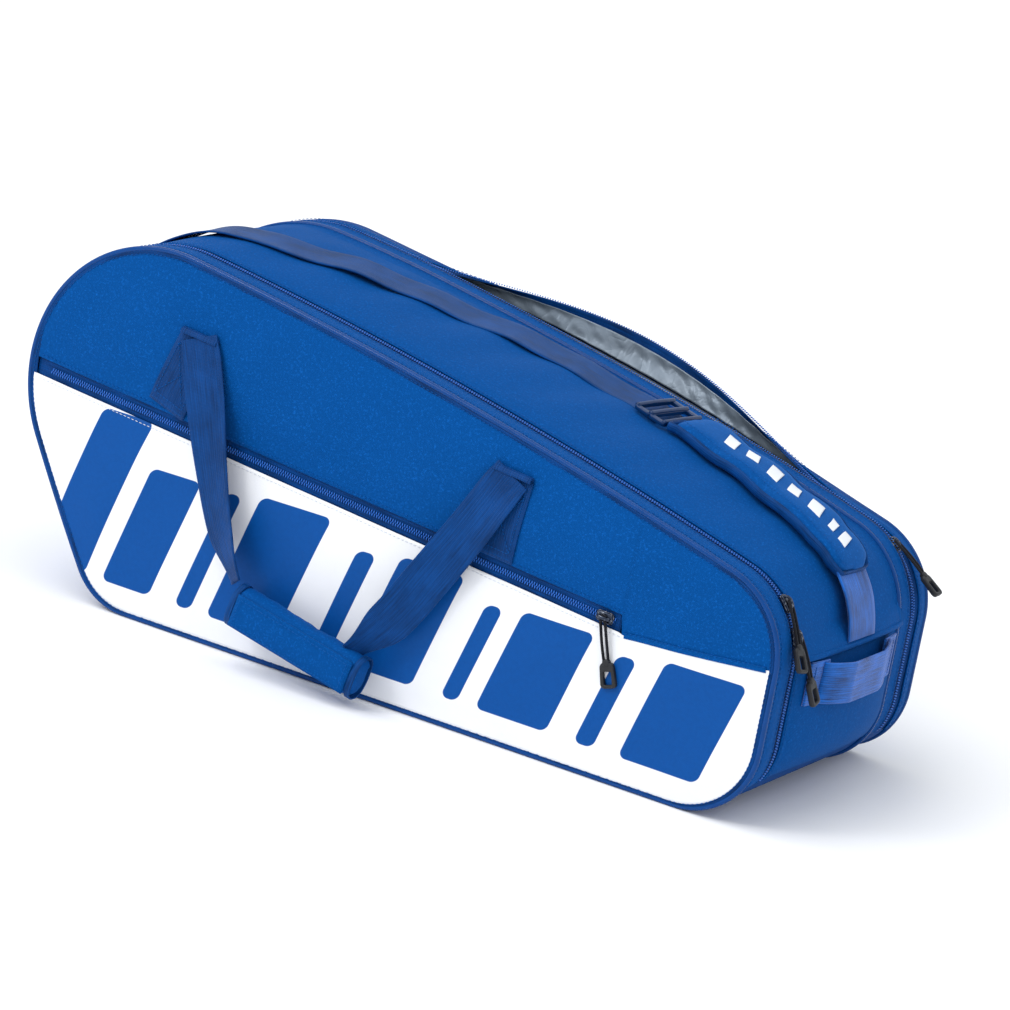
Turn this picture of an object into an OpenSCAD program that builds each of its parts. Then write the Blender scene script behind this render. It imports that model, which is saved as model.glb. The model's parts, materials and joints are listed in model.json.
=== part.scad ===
// Racket tournament bag with two compartments, a front pocket, carry handles and a shoulder strap.
// X runs from the round end to the narrow end, Y from the front panel to the back, Z is up.
// The origin is the middle of the base, on the surface that the bag stands on.

/* [Body] */
// Length of the bag from end to end
bag_length = 748; // [620:1:900]
// Height of the bag at its round end
bag_height = 325; // [270:1:392]
// Height of the bag at its narrow end
tail_height = 209; // [174:1:252]
// Depth of the front compartment
front_depth = 240; // [200:1:290]
// Depth of the rear compartment
rear_depth = 60; // [50:1:90]

/* [Outline] */
// Radius of the round end
nose_radius = 127; // [105:1:135]
// Radius of the lower corner under the round end
heel_radius = 62; // [50:1:75]
// Distance of the lower corner's centre from the round end
heel_setback = 136; // [113:1:164]
// Radius of the upper corner at the narrow end
shoulder_radius = 74; // [60:1:89]
// Radius of the lower corner at the narrow end
toe_radius = 68; // [56:1:82]
// Radius of the slightly crowned top
top_crown_radius = 4200; // [2500:50:9000]
// Radius of the slightly crowned side under the round end
side_crown_radius = 2500; // [1200:50:6000]

/* [Fabric] */
// Thickness of the gusset cloth with its lining
gusset_wall = 2.2; // [1.8:0.1:3]
// Thickness of the outer panel cloth
face_wall = 2; // [1.6:0.1:2.6]
// Thickness of the stiffened inner panel
inner_wall = 2.5; // [2:0.1:3.2]
// Free room inside the flat pocket
pocket_room = 5; // [4.2:0.1:8]
// How far the piping stands out of the outline
piping_proud = 2.5; // [1.5:0.1:3.5]
// Width of the piping and its seam on the panel
piping_width = 6.5; // [5:0.1:8]
// Height at which the base cloth ends
base_rise = 34; // [28:1:45]

/* [Zips] */
// Distance of the main zip from the front face
main_zip_setback = 33; // [28:1:40]
// Distance of the rear zip from the centre seam
rear_zip_setback = 30; // [24:1:34]
// Width of one zip tape
tape_width = 10; // [8:0.5:12]
// Width of one row of zip teeth
teeth_width = 2.9; // [2:0.1:4]
// Drop of the pocket zip, at the middle of the bag, below the narrow end's height
pocket_zip_drop = 51; // [42:1:62]
// Fall of the pocket zip over each metre of length
pocket_zip_fall = 98; // [0:1:140]
// Height of the pocket's white cloth at the narrow end
pocket_corner = 137; // [118:1:150]
// Distance of the pocket zip's closed end from the round end
pocket_zip_margin = 22; // [18:1:60]
// Distance of the pocket zip's open end from the narrow end
pocket_zip_stop = 142; // [118:1:170]

/* [Rear mouth] */
// Distance of the open mouth from the round end
mouth_setback = 189; // [158:1:226]
// How far the open mouth's rear lip stands behind its closed place
mouth_gap = 58; // [48:1:70]
// How far the rear lip stands up at the middle of the mouth
lip_rise = 22; // [10:1:28]
// How far the rear panel's upper edge leans back at the mouth
panel_bow = 24; // [12:1:30]
// How far the rear panel bulges
rear_bulge = 10; // [4:1:14]

/* [Handles and strap] */
// Width of the carry handle webbing
handle_width = 39; // [32:1:47]
// Width of the shoulder strap webbing
strap_width = 50; // [42:1:54]
// Thickness of all webbing
webbing = 1.6; // [1.3:0.1:2]
// Height of the handle folds over the pocket zip
handle_rise = 84; // [70:1:95]
// Width of the padded strap section
pad_width = 64; // [54:1:70]
// Thickness of the padded strap section
pad_thick = 9; // [7:0.5:11]
// Length of the hook and loop wrap
wrap_length = 132; // [110:1:150]
// Height of the hook and loop wrap
wrap_height = 38; // [32:1:44]

/* [Hidden] */
$fn = 48;
clear = 0.3;            // least gap between pieces that move apart
lift = 1;               // gap under a slider
teeth_proud = 0.9;      // height of the zip teeth over the outline
tape_sink = 0.2;        // depth of the tape's face under the outline
tape_wall = 1.2;
lining_wall = 1;
binding_step = 4;       // depth of the piping's seam behind the front face
hinge_gap = 1.5;        // gap between the base cloth and a door's panel
far = 3 * bag_length;
door_rise = base_rise + 2 * clear;

front_y = -(front_depth + rear_depth) / 2;
seam_y = front_y + front_depth;
rear_y = -front_y;
main_zip_y = front_y + main_zip_setback;
rear_zip_y = seam_y + rear_zip_setback;
panel_inset = piping_width - piping_proud;
inner_y = front_y + face_wall + pocket_room;
base_front_y = inner_y + inner_wall + hinge_gap;
base_rear_y = rear_y - inner_wall - hinge_gap - lining_wall;

// ---- side outline, a chain of arcs that meet without a corner ----
nose = [-bag_length / 2 + nose_radius, bag_height - nose_radius];
heel = [-bag_length / 2 + heel_setback, heel_radius];
shoulder = [bag_length / 2 - shoulder_radius, tail_height - shoulder_radius];
toe = [bag_length / 2 - toe_radius, toe_radius];

// Centre of the large arc that touches circle a and then circle b from outside.
function crown_centre(a, ra, b, rb, r) =
    let (d = b - a, len = norm(d), e = d / len, da = r - ra, db = r - rb,
         t = (da * da - db * db + len * len) / (2 * len))
    a + t * e + sqrt(da * da - t * t) * [-e[1], e[0]];
function heading(from, to) = atan2(to[1] - from[1], to[0] - from[0]);
top_centre = crown_centre(shoulder, shoulder_radius, nose, nose_radius, top_crown_radius);
side_centre = crown_centre(nose, nose_radius, heel, heel_radius, side_crown_radius);
top_right_angle = heading(top_centre, shoulder);
top_left_angle = heading(top_centre, nose);
side_top_angle = (heading(side_centre, nose) + 360) % 360;
side_bottom_angle = (heading(side_centre, heel) + 360) % 360;

function arc(c, r, a0, a1, n) =
    [for (i = [0:n - 1]) let (a = a0 + (a1 - a0) * i / n) c + r * [cos(a), sin(a)]];
function straight(p, q, n) = [for (i = [0:n - 1]) p + (q - p) * i / n];

// Steps of each stretch of the outline, counter-clockwise from the right end of the shoulder arc.
n_shoulder = 10;
n_top = 28;
n_nose = 18;
n_side = 5;
n_heel = 7;
n_base = 14;
n_toe = 10;
n_end = 3;
function outline(inset) = concat(
    arc(shoulder, shoulder_radius - inset, 0, top_right_angle, n_shoulder),
    arc(top_centre, top_crown_radius - inset, top_right_angle, top_left_angle, n_top),
    arc(nose, nose_radius - inset, top_left_angle, side_top_angle, n_nose),
    arc(side_centre, side_crown_radius - inset, side_top_angle, side_bottom_angle, n_side),
    arc(heel, heel_radius - inset, side_bottom_angle, 270, n_heel),
    straight([heel[0], inset], [toe[0], inset], n_base),
    arc(toe, toe_radius - inset, 270, 360, n_toe),
    straight([bag_length / 2 - inset, toe[1]], [bag_length / 2 - inset, shoulder[1]], n_end));
n_all = n_shoulder + n_top + n_nose + n_side + n_heel + n_base + n_toe + n_end;

module shape(inset) { polygon(outline(inset)); }
module band(outside, inside) {
    difference() {
        shape(outside);
        shape(inside);
    }
}
module window(x0, x1, z0, z1) { translate([x0, z0]) square([x1 - x0, z1 - z0]); }
// A flat figure in X and Z, made solid from y0 to y1.
module slab(y0, y1) {
    translate([0, y1, 0]) rotate([90, 0, 0]) linear_extrude(y1 - y0) children();
}

// ---- strips of the gusset ----
strap_seam_z = shoulder[1] + 12;                       // seam that holds the strap's lower end
nose_seam_angle = 130;                                 // seam that holds the strap's upper end
nose_seam = nose + nose_radius * [cos(nose_seam_angle), sin(nose_seam_angle)];
module gusset(y0, y1, low) {
    slab(y0, y1) intersection() {
        band(0, gusset_wall);
        window(-far, far, low, far);
    }
}
// The strip between the main zip and the centre seam is cut into three at its seams.
centre_y0 = main_zip_y + clear + tape_width;
module centre_piece(x0, x1, z0, z1) {
    intersection() {
        gusset(centre_y0, seam_y, base_rise);
        slab(front_y, rear_y) window(x0, x1, z0, z1);
    }
}
module top_gusset() {
    color("royalblue") difference() {
        gusset(centre_y0, seam_y, base_rise);
        slab(front_y, rear_y) {
            window(0, far, 0, strap_seam_z);
            window(-far, nose[0], 0, nose_seam[1]);
        }
    }
}
module right_end_gusset() { color("royalblue") centre_piece(0, far, base_rise, strap_seam_z); }
module left_end_gusset() { color("royalblue") centre_piece(-far, nose[0], base_rise, nose_seam[1]); }
module rear_strip() { color("royalblue") gusset(seam_y, rear_zip_y - clear - tape_width, base_rise); }
module front_strip() {
    color("royalblue") gusset(front_y + binding_step, main_zip_y - clear - tape_width, door_rise);
}
module base_gusset() {
    color("mediumblue") slab(base_front_y, base_rear_y) intersection() {
        band(0, gusset_wall);
        window(-far, far, 0, base_rise);
    }
}
board_wall = 2;
module base_board() {
    color("dimgray") slab(base_front_y, seam_y - inner_wall / 2)
        translate([heel[0], gusset_wall]) square([toe[0] - heel[0], board_wall]);
}
module divider_panel() {
    color("midnightblue") slab(seam_y - inner_wall / 2, seam_y + inner_wall / 2) shape(gusset_wall);
}
module divider_lining() {
    color("silver") slab(seam_y + inner_wall / 2, seam_y + inner_wall / 2 + lining_wall)
        shape(gusset_wall);
}
module piping_band(y0, y1, inside) {
    slab(y0, y1) intersection() {
        band(-piping_proud, inside);
        window(-far, far, 0, far);
    }
}
module seam_piping() { color("navy") piping_band(seam_y - 2.5, seam_y + 2.5, 0); }

// ---- zips round the gusset ----
module zip_tape(y0, low) {
    slab(y0, y0 + tape_width) intersection() {
        band(tape_sink, tape_sink + tape_wall);
        window(-far, far, low, far);
    }
}
module zip_teeth(y0, low) {
    slab(y0, y0 + teeth_width) intersection() {
        band(-teeth_proud, tape_sink);
        window(-far, far, low, far);
    }
}
module main_zip_inner_tape() { color("navy") zip_tape(main_zip_y + clear, base_rise); }
module main_zip_inner_teeth() { color("blue") zip_teeth(main_zip_y + clear, base_rise); }
module main_zip_outer_tape() { color("navy") zip_tape(main_zip_y - clear - tape_width, door_rise); }
module main_zip_outer_teeth() { color("blue") zip_teeth(main_zip_y - clear - teeth_width, door_rise); }
module rear_zip_inner_tape() { color("navy") zip_tape(rear_zip_y - clear - tape_width, base_rise); }
module rear_zip_inner_teeth() { color("blue") zip_teeth(rear_zip_y - clear - teeth_width, base_rise); }

// ---- front panel with its pocket ----
zip_slope = pocket_zip_fall / 1000;
zip_angle = atan(zip_slope);
pocket_zip_start = pocket_zip_margin - bag_length / 2;
pocket_zip_end = bag_length / 2 - pocket_zip_stop;
function zip_z(x) = tail_height - pocket_zip_drop - zip_slope * x;
pocket_tape = 9;          // half width of the pocket zip's tape
pocket_teeth = 2.6;       // half width of its teeth
// Points of a band along the pocket zip, from offset low to offset high.
module zip_band(x0, x1, low, high) {
    polygon([[x0, zip_z(x0) + low], [x1, zip_z(x1) + low], [x1, zip_z(x1) + high], [x0, zip_z(x0) + high]]);
}
// Everything above the pocket's white cloth, whose edge leaves the zip at its open end.
module above_pocket() {
    polygon([[-far, zip_z(-far) - pocket_tape], [pocket_zip_end, zip_z(pocket_zip_end) - pocket_tape],
        [bag_length / 2, pocket_corner], [far, pocket_corner], [far, far], [-far, far]]);
}
module front_pocket_panel() {
    color("whitesmoke") slab(front_y, front_y + face_wall) difference() {
        shape(panel_inset);
        above_pocket();
    }
}
module front_upper_panel() {
    color("royalblue") slab(front_y, front_y + face_wall) intersection() {
        shape(panel_inset);
        union() {
            zip_band(-far, pocket_zip_end, pocket_tape, far);
            intersection() {
                above_pocket();
                window(pocket_zip_end, far, 0, far);
            }
        }
    }
}
module pocket_zip_tape() {
    color("navy") slab(front_y + 0.5, front_y + face_wall) intersection() {
        shape(panel_inset);
        zip_band(-far, pocket_zip_end, -pocket_tape, pocket_tape);
    }
}
module pocket_zip_teeth() {
    color("blue") slab(front_y - 0.7, front_y + 0.5) intersection() {
        shape(panel_inset);
        zip_band(pocket_zip_start, pocket_zip_end - 6, -pocket_teeth, pocket_teeth);
    }
}
module front_foam() {
    color("lightgray") slab(front_y + face_wall, inner_y) intersection() {
        shape(panel_inset);
        zip_band(-far, pocket_zip_end, pocket_tape, far);
    }
}
module front_inner_panel() {
    color("midnightblue") slab(inner_y, inner_y + inner_wall) shape(gusset_wall);
}
module front_piping() {
    color("navy") piping_band(front_y - 1.5, front_y + binding_step, panel_inset);
}

// ---- rear panel, bowed out at the open mouth ----
outer_ring = outline(0);
mouth_start = mouth_setback - bag_length / 2;
mouth_end = shoulder[0] - 2;
// Share of the mouth's opening at each point of the outline: 0 at its ends and 1 at its middle.
function mouth_share(p) =
    let (t = (p[0] - mouth_start) / (mouth_end - mouth_start))
    t <= 0 || t >= 1 || p[1] < tail_height / 2 ? 0 : pow(sin(180 * t), 1.5);
share = [for (p = outer_ring) mouth_share(p)];
// A point of the outline, moved in by inset and up by the mouth's share of rise.
function bowed(i, inset_ring, y, gap, rise) =
    [inset_ring[i][0], y + gap * share[i], max(0, inset_ring[i][1] + rise * share[i])];
// Closed ring or open strip swept through four corners at each step.
module swept(rows, closed) {
    n = len(rows);
    last = closed ? n - 1 : n - 2;
    sides = [for (i = [0:last], k = [0:3])
        let (j = (i + 1) % n, m = (k + 1) % 4)
        each [[4 * i + k, 4 * i + m, 4 * j + m], [4 * i + k, 4 * j + m, 4 * j + k]]];
    ends = closed ? [] : [[2, 1, 0], [3, 2, 0], [4 * n - 4, 4 * n - 3, 4 * n - 2], [4 * n - 4, 4 * n - 2, 4 * n - 1]];
    polyhedron([for (r = rows) each r], concat(sides, ends));
}
panel_sink = -4;          // how far the piping drops where the lip stands up
module rear_piping() {
    outer = outline(-piping_proud);
    inner = outline(panel_inset);
    color("navy") swept([for (i = [0:n_all - 1]) [
        bowed(i, outer, rear_y - binding_step, panel_bow, panel_sink),
        bowed(i, inner, rear_y - binding_step, panel_bow, panel_sink),
        bowed(i, inner, rear_y + 1.5, panel_bow, panel_sink),
        bowed(i, outer, rear_y + 1.5, panel_bow, panel_sink)]], true);
}
// The panel is a dish: its rim follows the piping and its middle bulges back.
dish_steps = 4;
dish_centre = [0, 150 * bag_height / 325];
function dish_point(i, step, ring, y) =
    let (s = step / dish_steps, p = dish_centre + s * (ring[i] - dish_centre))
    [p[0], y + rear_bulge * (1 - s * s) + panel_bow * share[i] * s * s,
     p[1] + panel_sink * share[i] * s * s];
module dish(ring, y0, y1) {
    n = len(ring);
    front = [for (k = [1:dish_steps], i = [0:n - 1]) dish_point(i, k, ring, y0)];
    back = [for (k = [1:dish_steps], i = [0:n - 1]) dish_point(i, k, ring, y1)];
    c0 = [dish_centre[0], y0 + rear_bulge, dish_centre[1]];
    c1 = [dish_centre[0], y1 + rear_bulge, dish_centre[1]];
    m = n * dish_steps;
    points = concat(front, back, [c0, c1]);
    rim = n * (dish_steps - 1);
    polyhedron(points, concat(
        [for (i = [0:n - 1]) [2 * m, (i + 1) % n, i]],
        [for (k = [0:dish_steps - 2], i = [0:n - 1]) let (j = (i + 1) % n)
            each [[k * n + i, k * n + j, k * n + n + j], [k * n + i, k * n + n + j, k * n + n + i]]],
        [for (i = [0:n - 1]) [2 * m + 1, m + i, m + (i + 1) % n]],
        [for (k = [0:dish_steps - 2], i = [0:n - 1]) let (j = (i + 1) % n)
            each [[m + k * n + i, m + k * n + n + j, m + k * n + j],
                  [m + k * n + i, m + k * n + n + i, m + k * n + n + j]]],
        [for (i = [0:n - 1]) let (j = (i + 1) % n)
            each [[rim + i, rim + j, m + rim + j], [rim + i, m + rim + j, m + rim + i]]]));
}
module rear_panel() { color("royalblue") dish(outline(panel_inset), rear_y - inner_wall, rear_y); }
module rear_lining() {
    color("silver") dish(outline(panel_inset), rear_y - inner_wall - lining_wall, rear_y - inner_wall);
}
// The rear lip runs round the outline wherever it is above the base cloth. Each of its rows has
// a step of the outline and the share of the way to the next step.
toe_start = n_all - n_end - n_toe;
lip_steps = [for (k = [0:n_all - 1]) let (i = (k + toe_start) % n_all) if (outer_ring[i][1] > door_rise) i];
function rise_share(i) =
    (door_rise - outer_ring[i][1]) / (outer_ring[(i + 1) % n_all][1] - outer_ring[i][1]);
lip_end = lip_steps[len(lip_steps) - 1];
lip_rows = concat([[lip_steps[0] - 1, rise_share(lip_steps[0] - 1)]], [for (i = lip_steps) [i, 0]],
    [[lip_end, rise_share(lip_end)]]);
// Place across the lip, from 0 at the zip to 1 at the piping.
lip_y0 = rear_zip_y + clear;
lip_y1 = rear_y - binding_step;
function lip_share(y) = (y - lip_y0) / (lip_y1 - lip_y0);
function lip_gap(y) = mouth_gap + (panel_bow - mouth_gap) * lip_share(y);
function lip_up(y) = lip_rise + (panel_sink - lip_rise) * lip_share(y);
unit_ring = outline(1);
lip_back = 3.4;           // room for the piping where the lip leans back over it
// The lip leans back where the mouth is open, so its thickness is set square to its own slope.
function lip_point(row, depth, y) =
    let (i = row[0], j = (i + 1) % n_all, s = share[i],
        p = outer_ring[i] + (outer_ring[j] - outer_ring[i]) * row[1],
        inward = unit_ring[i] - outer_ring[i],
        run = [lip_y0 - lip_y1 + (mouth_gap - panel_bow) * s, (lip_rise - panel_sink) * s],
        square = [-run[1], run[0]] / norm(run))
    [p[0] - inward[0] * square[1] * depth,
     y + lip_gap(y) * s + square[0] * depth,
     p[1] - inward[1] * square[1] * depth + lip_up(y) * s];
module lip_part(outside, inside, y0, y1, back = 0) {
    swept([for (row = lip_rows) [
        lip_point(row, outside, y0),
        lip_point(row, inside, y0),
        lip_point(row, inside, y1 - back * share[row[0]]),
        lip_point(row, outside, y1 - back * share[row[0]])]], false);
}
module rear_lip() { color("royalblue") lip_part(0, gusset_wall, lip_y0 + tape_width + clear, lip_y1 - clear, lip_back); }
module rear_zip_outer_tape() {
    color("navy") lip_part(tape_sink, tape_sink + tape_wall, lip_y0, lip_y0 + tape_width);
}
module rear_zip_outer_teeth() {
    color("blue") lip_part(-teeth_proud - clear, -clear, lip_y0, lip_y0 + teeth_width);
}

// ---- zip sliders and their pulls ----
plate = [17, 10.5, 2.2];   // slider plate: along the zip, across it, thick
bail_radius = 3.6;
bail_hole = 1.9;
bail_width = 3.2;
bail_z = plate[2] + 2.4;
pin_radius = 1.2;
strand = 2;
strand_y = 4.2;
cord_reach = 38;
tab = [20, 13, 5];
tab_aside = 4;             // distance of a tab's near edge from the zip where two pulls hang side by side
// A frame on an outline arc: local Z points outwards and local X down the zip.
module on_arc(angle, y, radius) {
    translate([shoulder[0] + radius * cos(angle), y, shoulder[1] + radius * sin(angle)])
        rotate([0, 90 - angle, 0]) children();
}
module slider_body(turn) {
    difference() {
        union() {
            rotate([0, 0, turn]) linear_extrude(plate[2]) hull() {
                for (s = [-1, 1]) translate([s * (plate[0] - 8) / 2, 0]) square([4, plate[1]], center = true);
                circle(d = plate[1]);
                translate([plate[0] / 2 - 2, 0]) circle(r = 2);
            }
            translate([0, 0, bail_z]) rotate([90, 0, 0])
                cylinder(h = bail_width, r = bail_radius, center = true);
        }
        translate([0, 0, bail_z]) rotate([90, 0, 0])
            cylinder(h = 3 * bail_width, r = bail_hole, center = true);
    }
}
// A cord loop through the bail; side is 0 for two strands, or -1 or 1 for both strands on one side.
module pull_cord(tilt, side) {
    places = side == 0 ? [-strand_y, strand_y] : [side * (strand_y + 4)];
    ends = side == 0 ? [-strand_y - 1, strand_y + 1]
                     : [min(side * -3, side * (strand_y + 5)), max(side * -3, side * (strand_y + 5))];
    translate([0, 0, bail_z]) rotate([0, tilt, 0]) {
        translate([0, ends[1], 0]) rotate([90, 0, 0]) cylinder(h = ends[1] - ends[0], r = pin_radius);
        for (y = places) translate([0, y - strand / 2, -strand / 2]) cube([cord_reach, strand, strand]);
    }
}
module pull_tab(tilt, side) {
    translate([0, 0, bail_z]) rotate([0, tilt, 0])
        translate([cord_reach, side * (tab[1] / 2 + tab_aside) - tab[1] / 2, -tab[2] / 2]) difference() {
            cube(tab);
            translate([5, 4, -1]) cube([9, tab[1] - 8, tab[2] + 2]);
        }
}
zip_radius = shoulder_radius + teeth_proud + lift;
upper_angle = 41;
lower_angle = 19.6;
rear_angle = 54;
upper_tilt = 12;
module upper_slider() { color("gray") on_arc(upper_angle, main_zip_y, zip_radius) slider_body(0); }
module upper_pull_cord() { color("black") on_arc(upper_angle, main_zip_y, zip_radius) pull_cord(upper_tilt, -1); }
module upper_pull_tab() {
    color("darkslategray") on_arc(upper_angle, main_zip_y, zip_radius) pull_tab(upper_tilt, -1);
}
module lower_slider() { color("gray") on_arc(lower_angle, main_zip_y, zip_radius) slider_body(180); }
module lower_pull_cord() { color("black") on_arc(lower_angle, main_zip_y, zip_radius) pull_cord(0, 1); }
module lower_pull_tab() { color("darkslategray") on_arc(lower_angle, main_zip_y, zip_radius) pull_tab(0, 1); }
module rear_slider() { color("gray") on_arc(rear_angle, rear_zip_y, zip_radius) slider_body(0); }
module rear_pull_cord() { color("black") on_arc(rear_angle, rear_zip_y, zip_radius) pull_cord(0, 0); }
module rear_pull_tab() { color("darkslategray") on_arc(rear_angle, rear_zip_y, zip_radius) pull_tab(0, 0); }
pocket_slider_x = pocket_zip_end - 15;
pocket_lean = 18;
module on_pocket() {
    translate([pocket_slider_x, front_y - 0.7 - lift, zip_z(pocket_slider_x)])
        rotate([90, 0, 0]) rotate([0, 0, pocket_lean - 90]) children();
}
module pocket_slider() { color("gray") on_pocket() slider_body(90 - pocket_lean - zip_angle); }
module pocket_pull_cord() { color("black") on_pocket() pull_cord(0, 0); }
module pocket_pull_tab() { color("darkslategray") on_pocket() pull_tab(0, 0); }

// ---- carry handles ----
fold_left_x = nose[0] + 41;
fold_right_x = shoulder[0] - 182;
function fold_z(x) = zip_z(x) + handle_rise;
patch_low = 12;            // height of a sewn tail's lower end over the zip
left_lean = 13;            // lean of the left tail
patch_gap = 0.6;
module tail(x, lean, y0, y1) {
    reach = handle_rise - patch_low;
    slab(y0, y1) translate([x, fold_z(x)]) rotate(-lean)
        translate([-handle_width / 2, -reach]) square([handle_width, reach]);
}
module front_handle_patches() {
    color("blue") {
        tail(fold_left_x, left_lean, front_y - webbing, front_y);
        tail(fold_right_x, 0, front_y - webbing, front_y);
    }
}
// The rear tails follow the dished panel.
module rear_handle_patches() {
    color("blue") intersection() {
        dish(outline(panel_inset), rear_y, rear_y + webbing);
        union() {
            tail(fold_left_x, left_lean, rear_y - 1, rear_y + 2 * panel_bow);
            tail(fold_right_x, 0, rear_y - 1, rear_y + 2 * panel_bow);
        }
    }
}
// A flat stretch of webbing between two points, as wide as w along X.
module run(p, q, w, t) {
    hull() for (e = [p, q]) translate([e[0] - w / 2, e[1] - t / 2, e[2]]) cube([w, t, 0.5]);
}
handle_y = front_y - 6;
wrap_y = front_y - 30;
wrap_thick = 24;
wrap_left = [(fold_left_x + fold_right_x) / 2 - 67, 54];
wrap_fall = 12;            // fall of the wrap from left to right, in degrees
handle_bow = 17;           // how far the hanging webbing stands off the pocket
front_left = [[fold_left_x, handle_y, fold_z(fold_left_x)],
    [fold_left_x + 40, front_y - handle_bow, fold_z(fold_left_x) - 95],
    [wrap_left[0] + 3, wrap_y, wrap_left[1] + 16]];
front_right = [[fold_right_x - 6, handle_y, fold_z(fold_right_x)],
    [fold_right_x - 48, front_y - handle_bow, fold_z(fold_right_x) - 95],
    [wrap_left[0] + wrap_length - 9, wrap_y, wrap_left[1] - 8]];
module front_handle_webbing() {
    color("blue") difference() {
        for (leg = [front_left, front_right], k = [0:1])
            run(leg[k], leg[k + 1], handle_width + 4 * k - 4, webbing);
        grip_solid(0);
    }
}
module grip_solid(grow) {
    slab(wrap_y - wrap_thick / 2 - grow, wrap_y + wrap_thick / 2 + grow)
        translate(wrap_left) rotate(-wrap_fall) hull() {
            for (x = [8, wrap_length - 8], z = [8 - wrap_height / 2, wrap_height / 2 - 8])
                translate([x, z]) circle(r = 8 + grow);
        }
}
flap_wall = 3;
module grip_wrap() { color("mediumblue") grip_solid(0); }
module grip_wrap_flap() {
    color("mediumblue") slab(wrap_y - wrap_thick / 2 - clear - flap_wall, wrap_y - wrap_thick / 2 - clear)
        translate(wrap_left) rotate(-wrap_fall)
            translate([6, -wrap_height / 2 + 2]) square([wrap_length - 12, wrap_height - 4]);
}
rear_left_stand = 12;      // folds' distance behind the flat of the rear panel
rear_right_stand = 21;
rear_run_y = rear_y + 18;
rear_left = [[fold_left_x, rear_y + rear_left_stand, fold_z(fold_left_x)],
    [wrap_left[0] - 6, rear_run_y, wrap_left[1] + 14]];
rear_right = [[fold_right_x - 6, rear_y + rear_right_stand, fold_z(fold_right_x)],
    [wrap_left[0] + wrap_length + 6, rear_run_y, wrap_left[1] - 6]];
module rear_handle_webbing() {
    half = handle_width / 2;
    color("blue") {
        for (leg = [rear_left, rear_right]) run(leg[0], leg[1], handle_width, webbing);
        slab(rear_run_y - webbing / 2, rear_run_y + webbing / 2) polygon([
            [rear_left[1][0] - half, rear_left[1][2] + 0.5], [rear_right[1][0] + half, rear_right[1][2] + 0.5],
            [rear_right[1][0] + half - 14, rear_right[1][2] - 26],
            [rear_left[1][0] - half + 14, rear_left[1][2] - 26]]);
    }
}

// ---- shoulder strap ----
// Middle line of the slack strap: its ends are sewn at the middle of the strip, and it lies
// towards the centre seam between them. Places run from the round end at -1 to the narrow end at 1.
strip_mid_y = (centre_y0 + seam_y) / 2;
strap_side = seam_y - pad_width / 2 - 10;
strap_line = [[-1, -0.7], [-0.55, -0.38], [-0.27, 0.28], [0, 0.8], [0.27, 1], [0.45, 0.88], [0.67, 0.55],
    [0.88, 0.05], [1.02, 0]];
function strap_y(x) = strip_mid_y + (strap_side - strip_mid_y) * lookup(2 * x / bag_length, strap_line);
// A ribbon over the outline from step i0 to step i1, between two heights over it.
module ribbon(i0, i1, low, high, w) {
    under = outline(-low);
    over = outline(-high);
    swept([for (i = [i0:i1]) let (y = strap_y(outer_ring[i][0])) [
        [over[i][0], y - w / 2, over[i][1]],
        [under[i][0], y - w / 2, under[i][1]],
        [under[i][0], y + w / 2, under[i][1]],
        [over[i][0], y + w / 2, over[i][1]]]], false);
}
pad_first = 6;                          // step of the outline at the pad's lower end
pad_last = n_shoulder + 8;              // step at the pad's upper end, where the ladder lock starts
web_first = pad_last + 2;               // step where the ladder lock ends and the webbing starts
web_last = n_shoulder + n_top + 7;      // step at the upper seam
web_low = 2;                            // gap between the webbing and the bag
module strap_webbing() {
    color("slateblue") ribbon(web_first, web_last, web_low, web_low + webbing, strap_width);
}
module strap_tail() {
    color("darkslateblue") ribbon(web_first, web_first + 4, clear, clear + webbing - 0.3, strap_width - 4);
}
module strap_anchor() {
    color("slateblue") ribbon(web_last, web_last + 1, 0, webbing, strap_width);
}
module strap_pad_cover() { color("royalblue") ribbon(pad_first, pad_last, 2 * clear, pad_thick, pad_width); }
module strap_end_webbing() {
    color("slateblue") ribbon(1, pad_first, 2 * clear, 2 * clear + webbing, strap_width);
}
// The ladder lock lies in the gap between the pad and the webbing.
lock_ring = outline(-2);
lock_from = lock_ring[pad_last];
lock_to = lock_ring[web_first];
lock_length = norm(lock_to - lock_from) - 2;
lock_slope = heading(lock_to, lock_from);
lock_bar = 4.5;
lock_high = 5;
lock_wide = strap_width + 13;
module ladder_lock() {
    color("mediumblue")
        translate([lock_from[0], strap_y(lock_from[0]), lock_from[1]]) rotate([0, -lock_slope, 0])
            translate([-lock_length - 1, -lock_wide / 2, 0]) difference() {
                cube([lock_length, lock_wide, lock_high]);
                for (x = [lock_bar, lock_length / 2 + lock_bar / 2])
                    translate([x, 5, -1]) cube([lock_length / 2 - 1.5 * lock_bar, lock_wide - 10, lock_high + 2]);
            }
}

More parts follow.
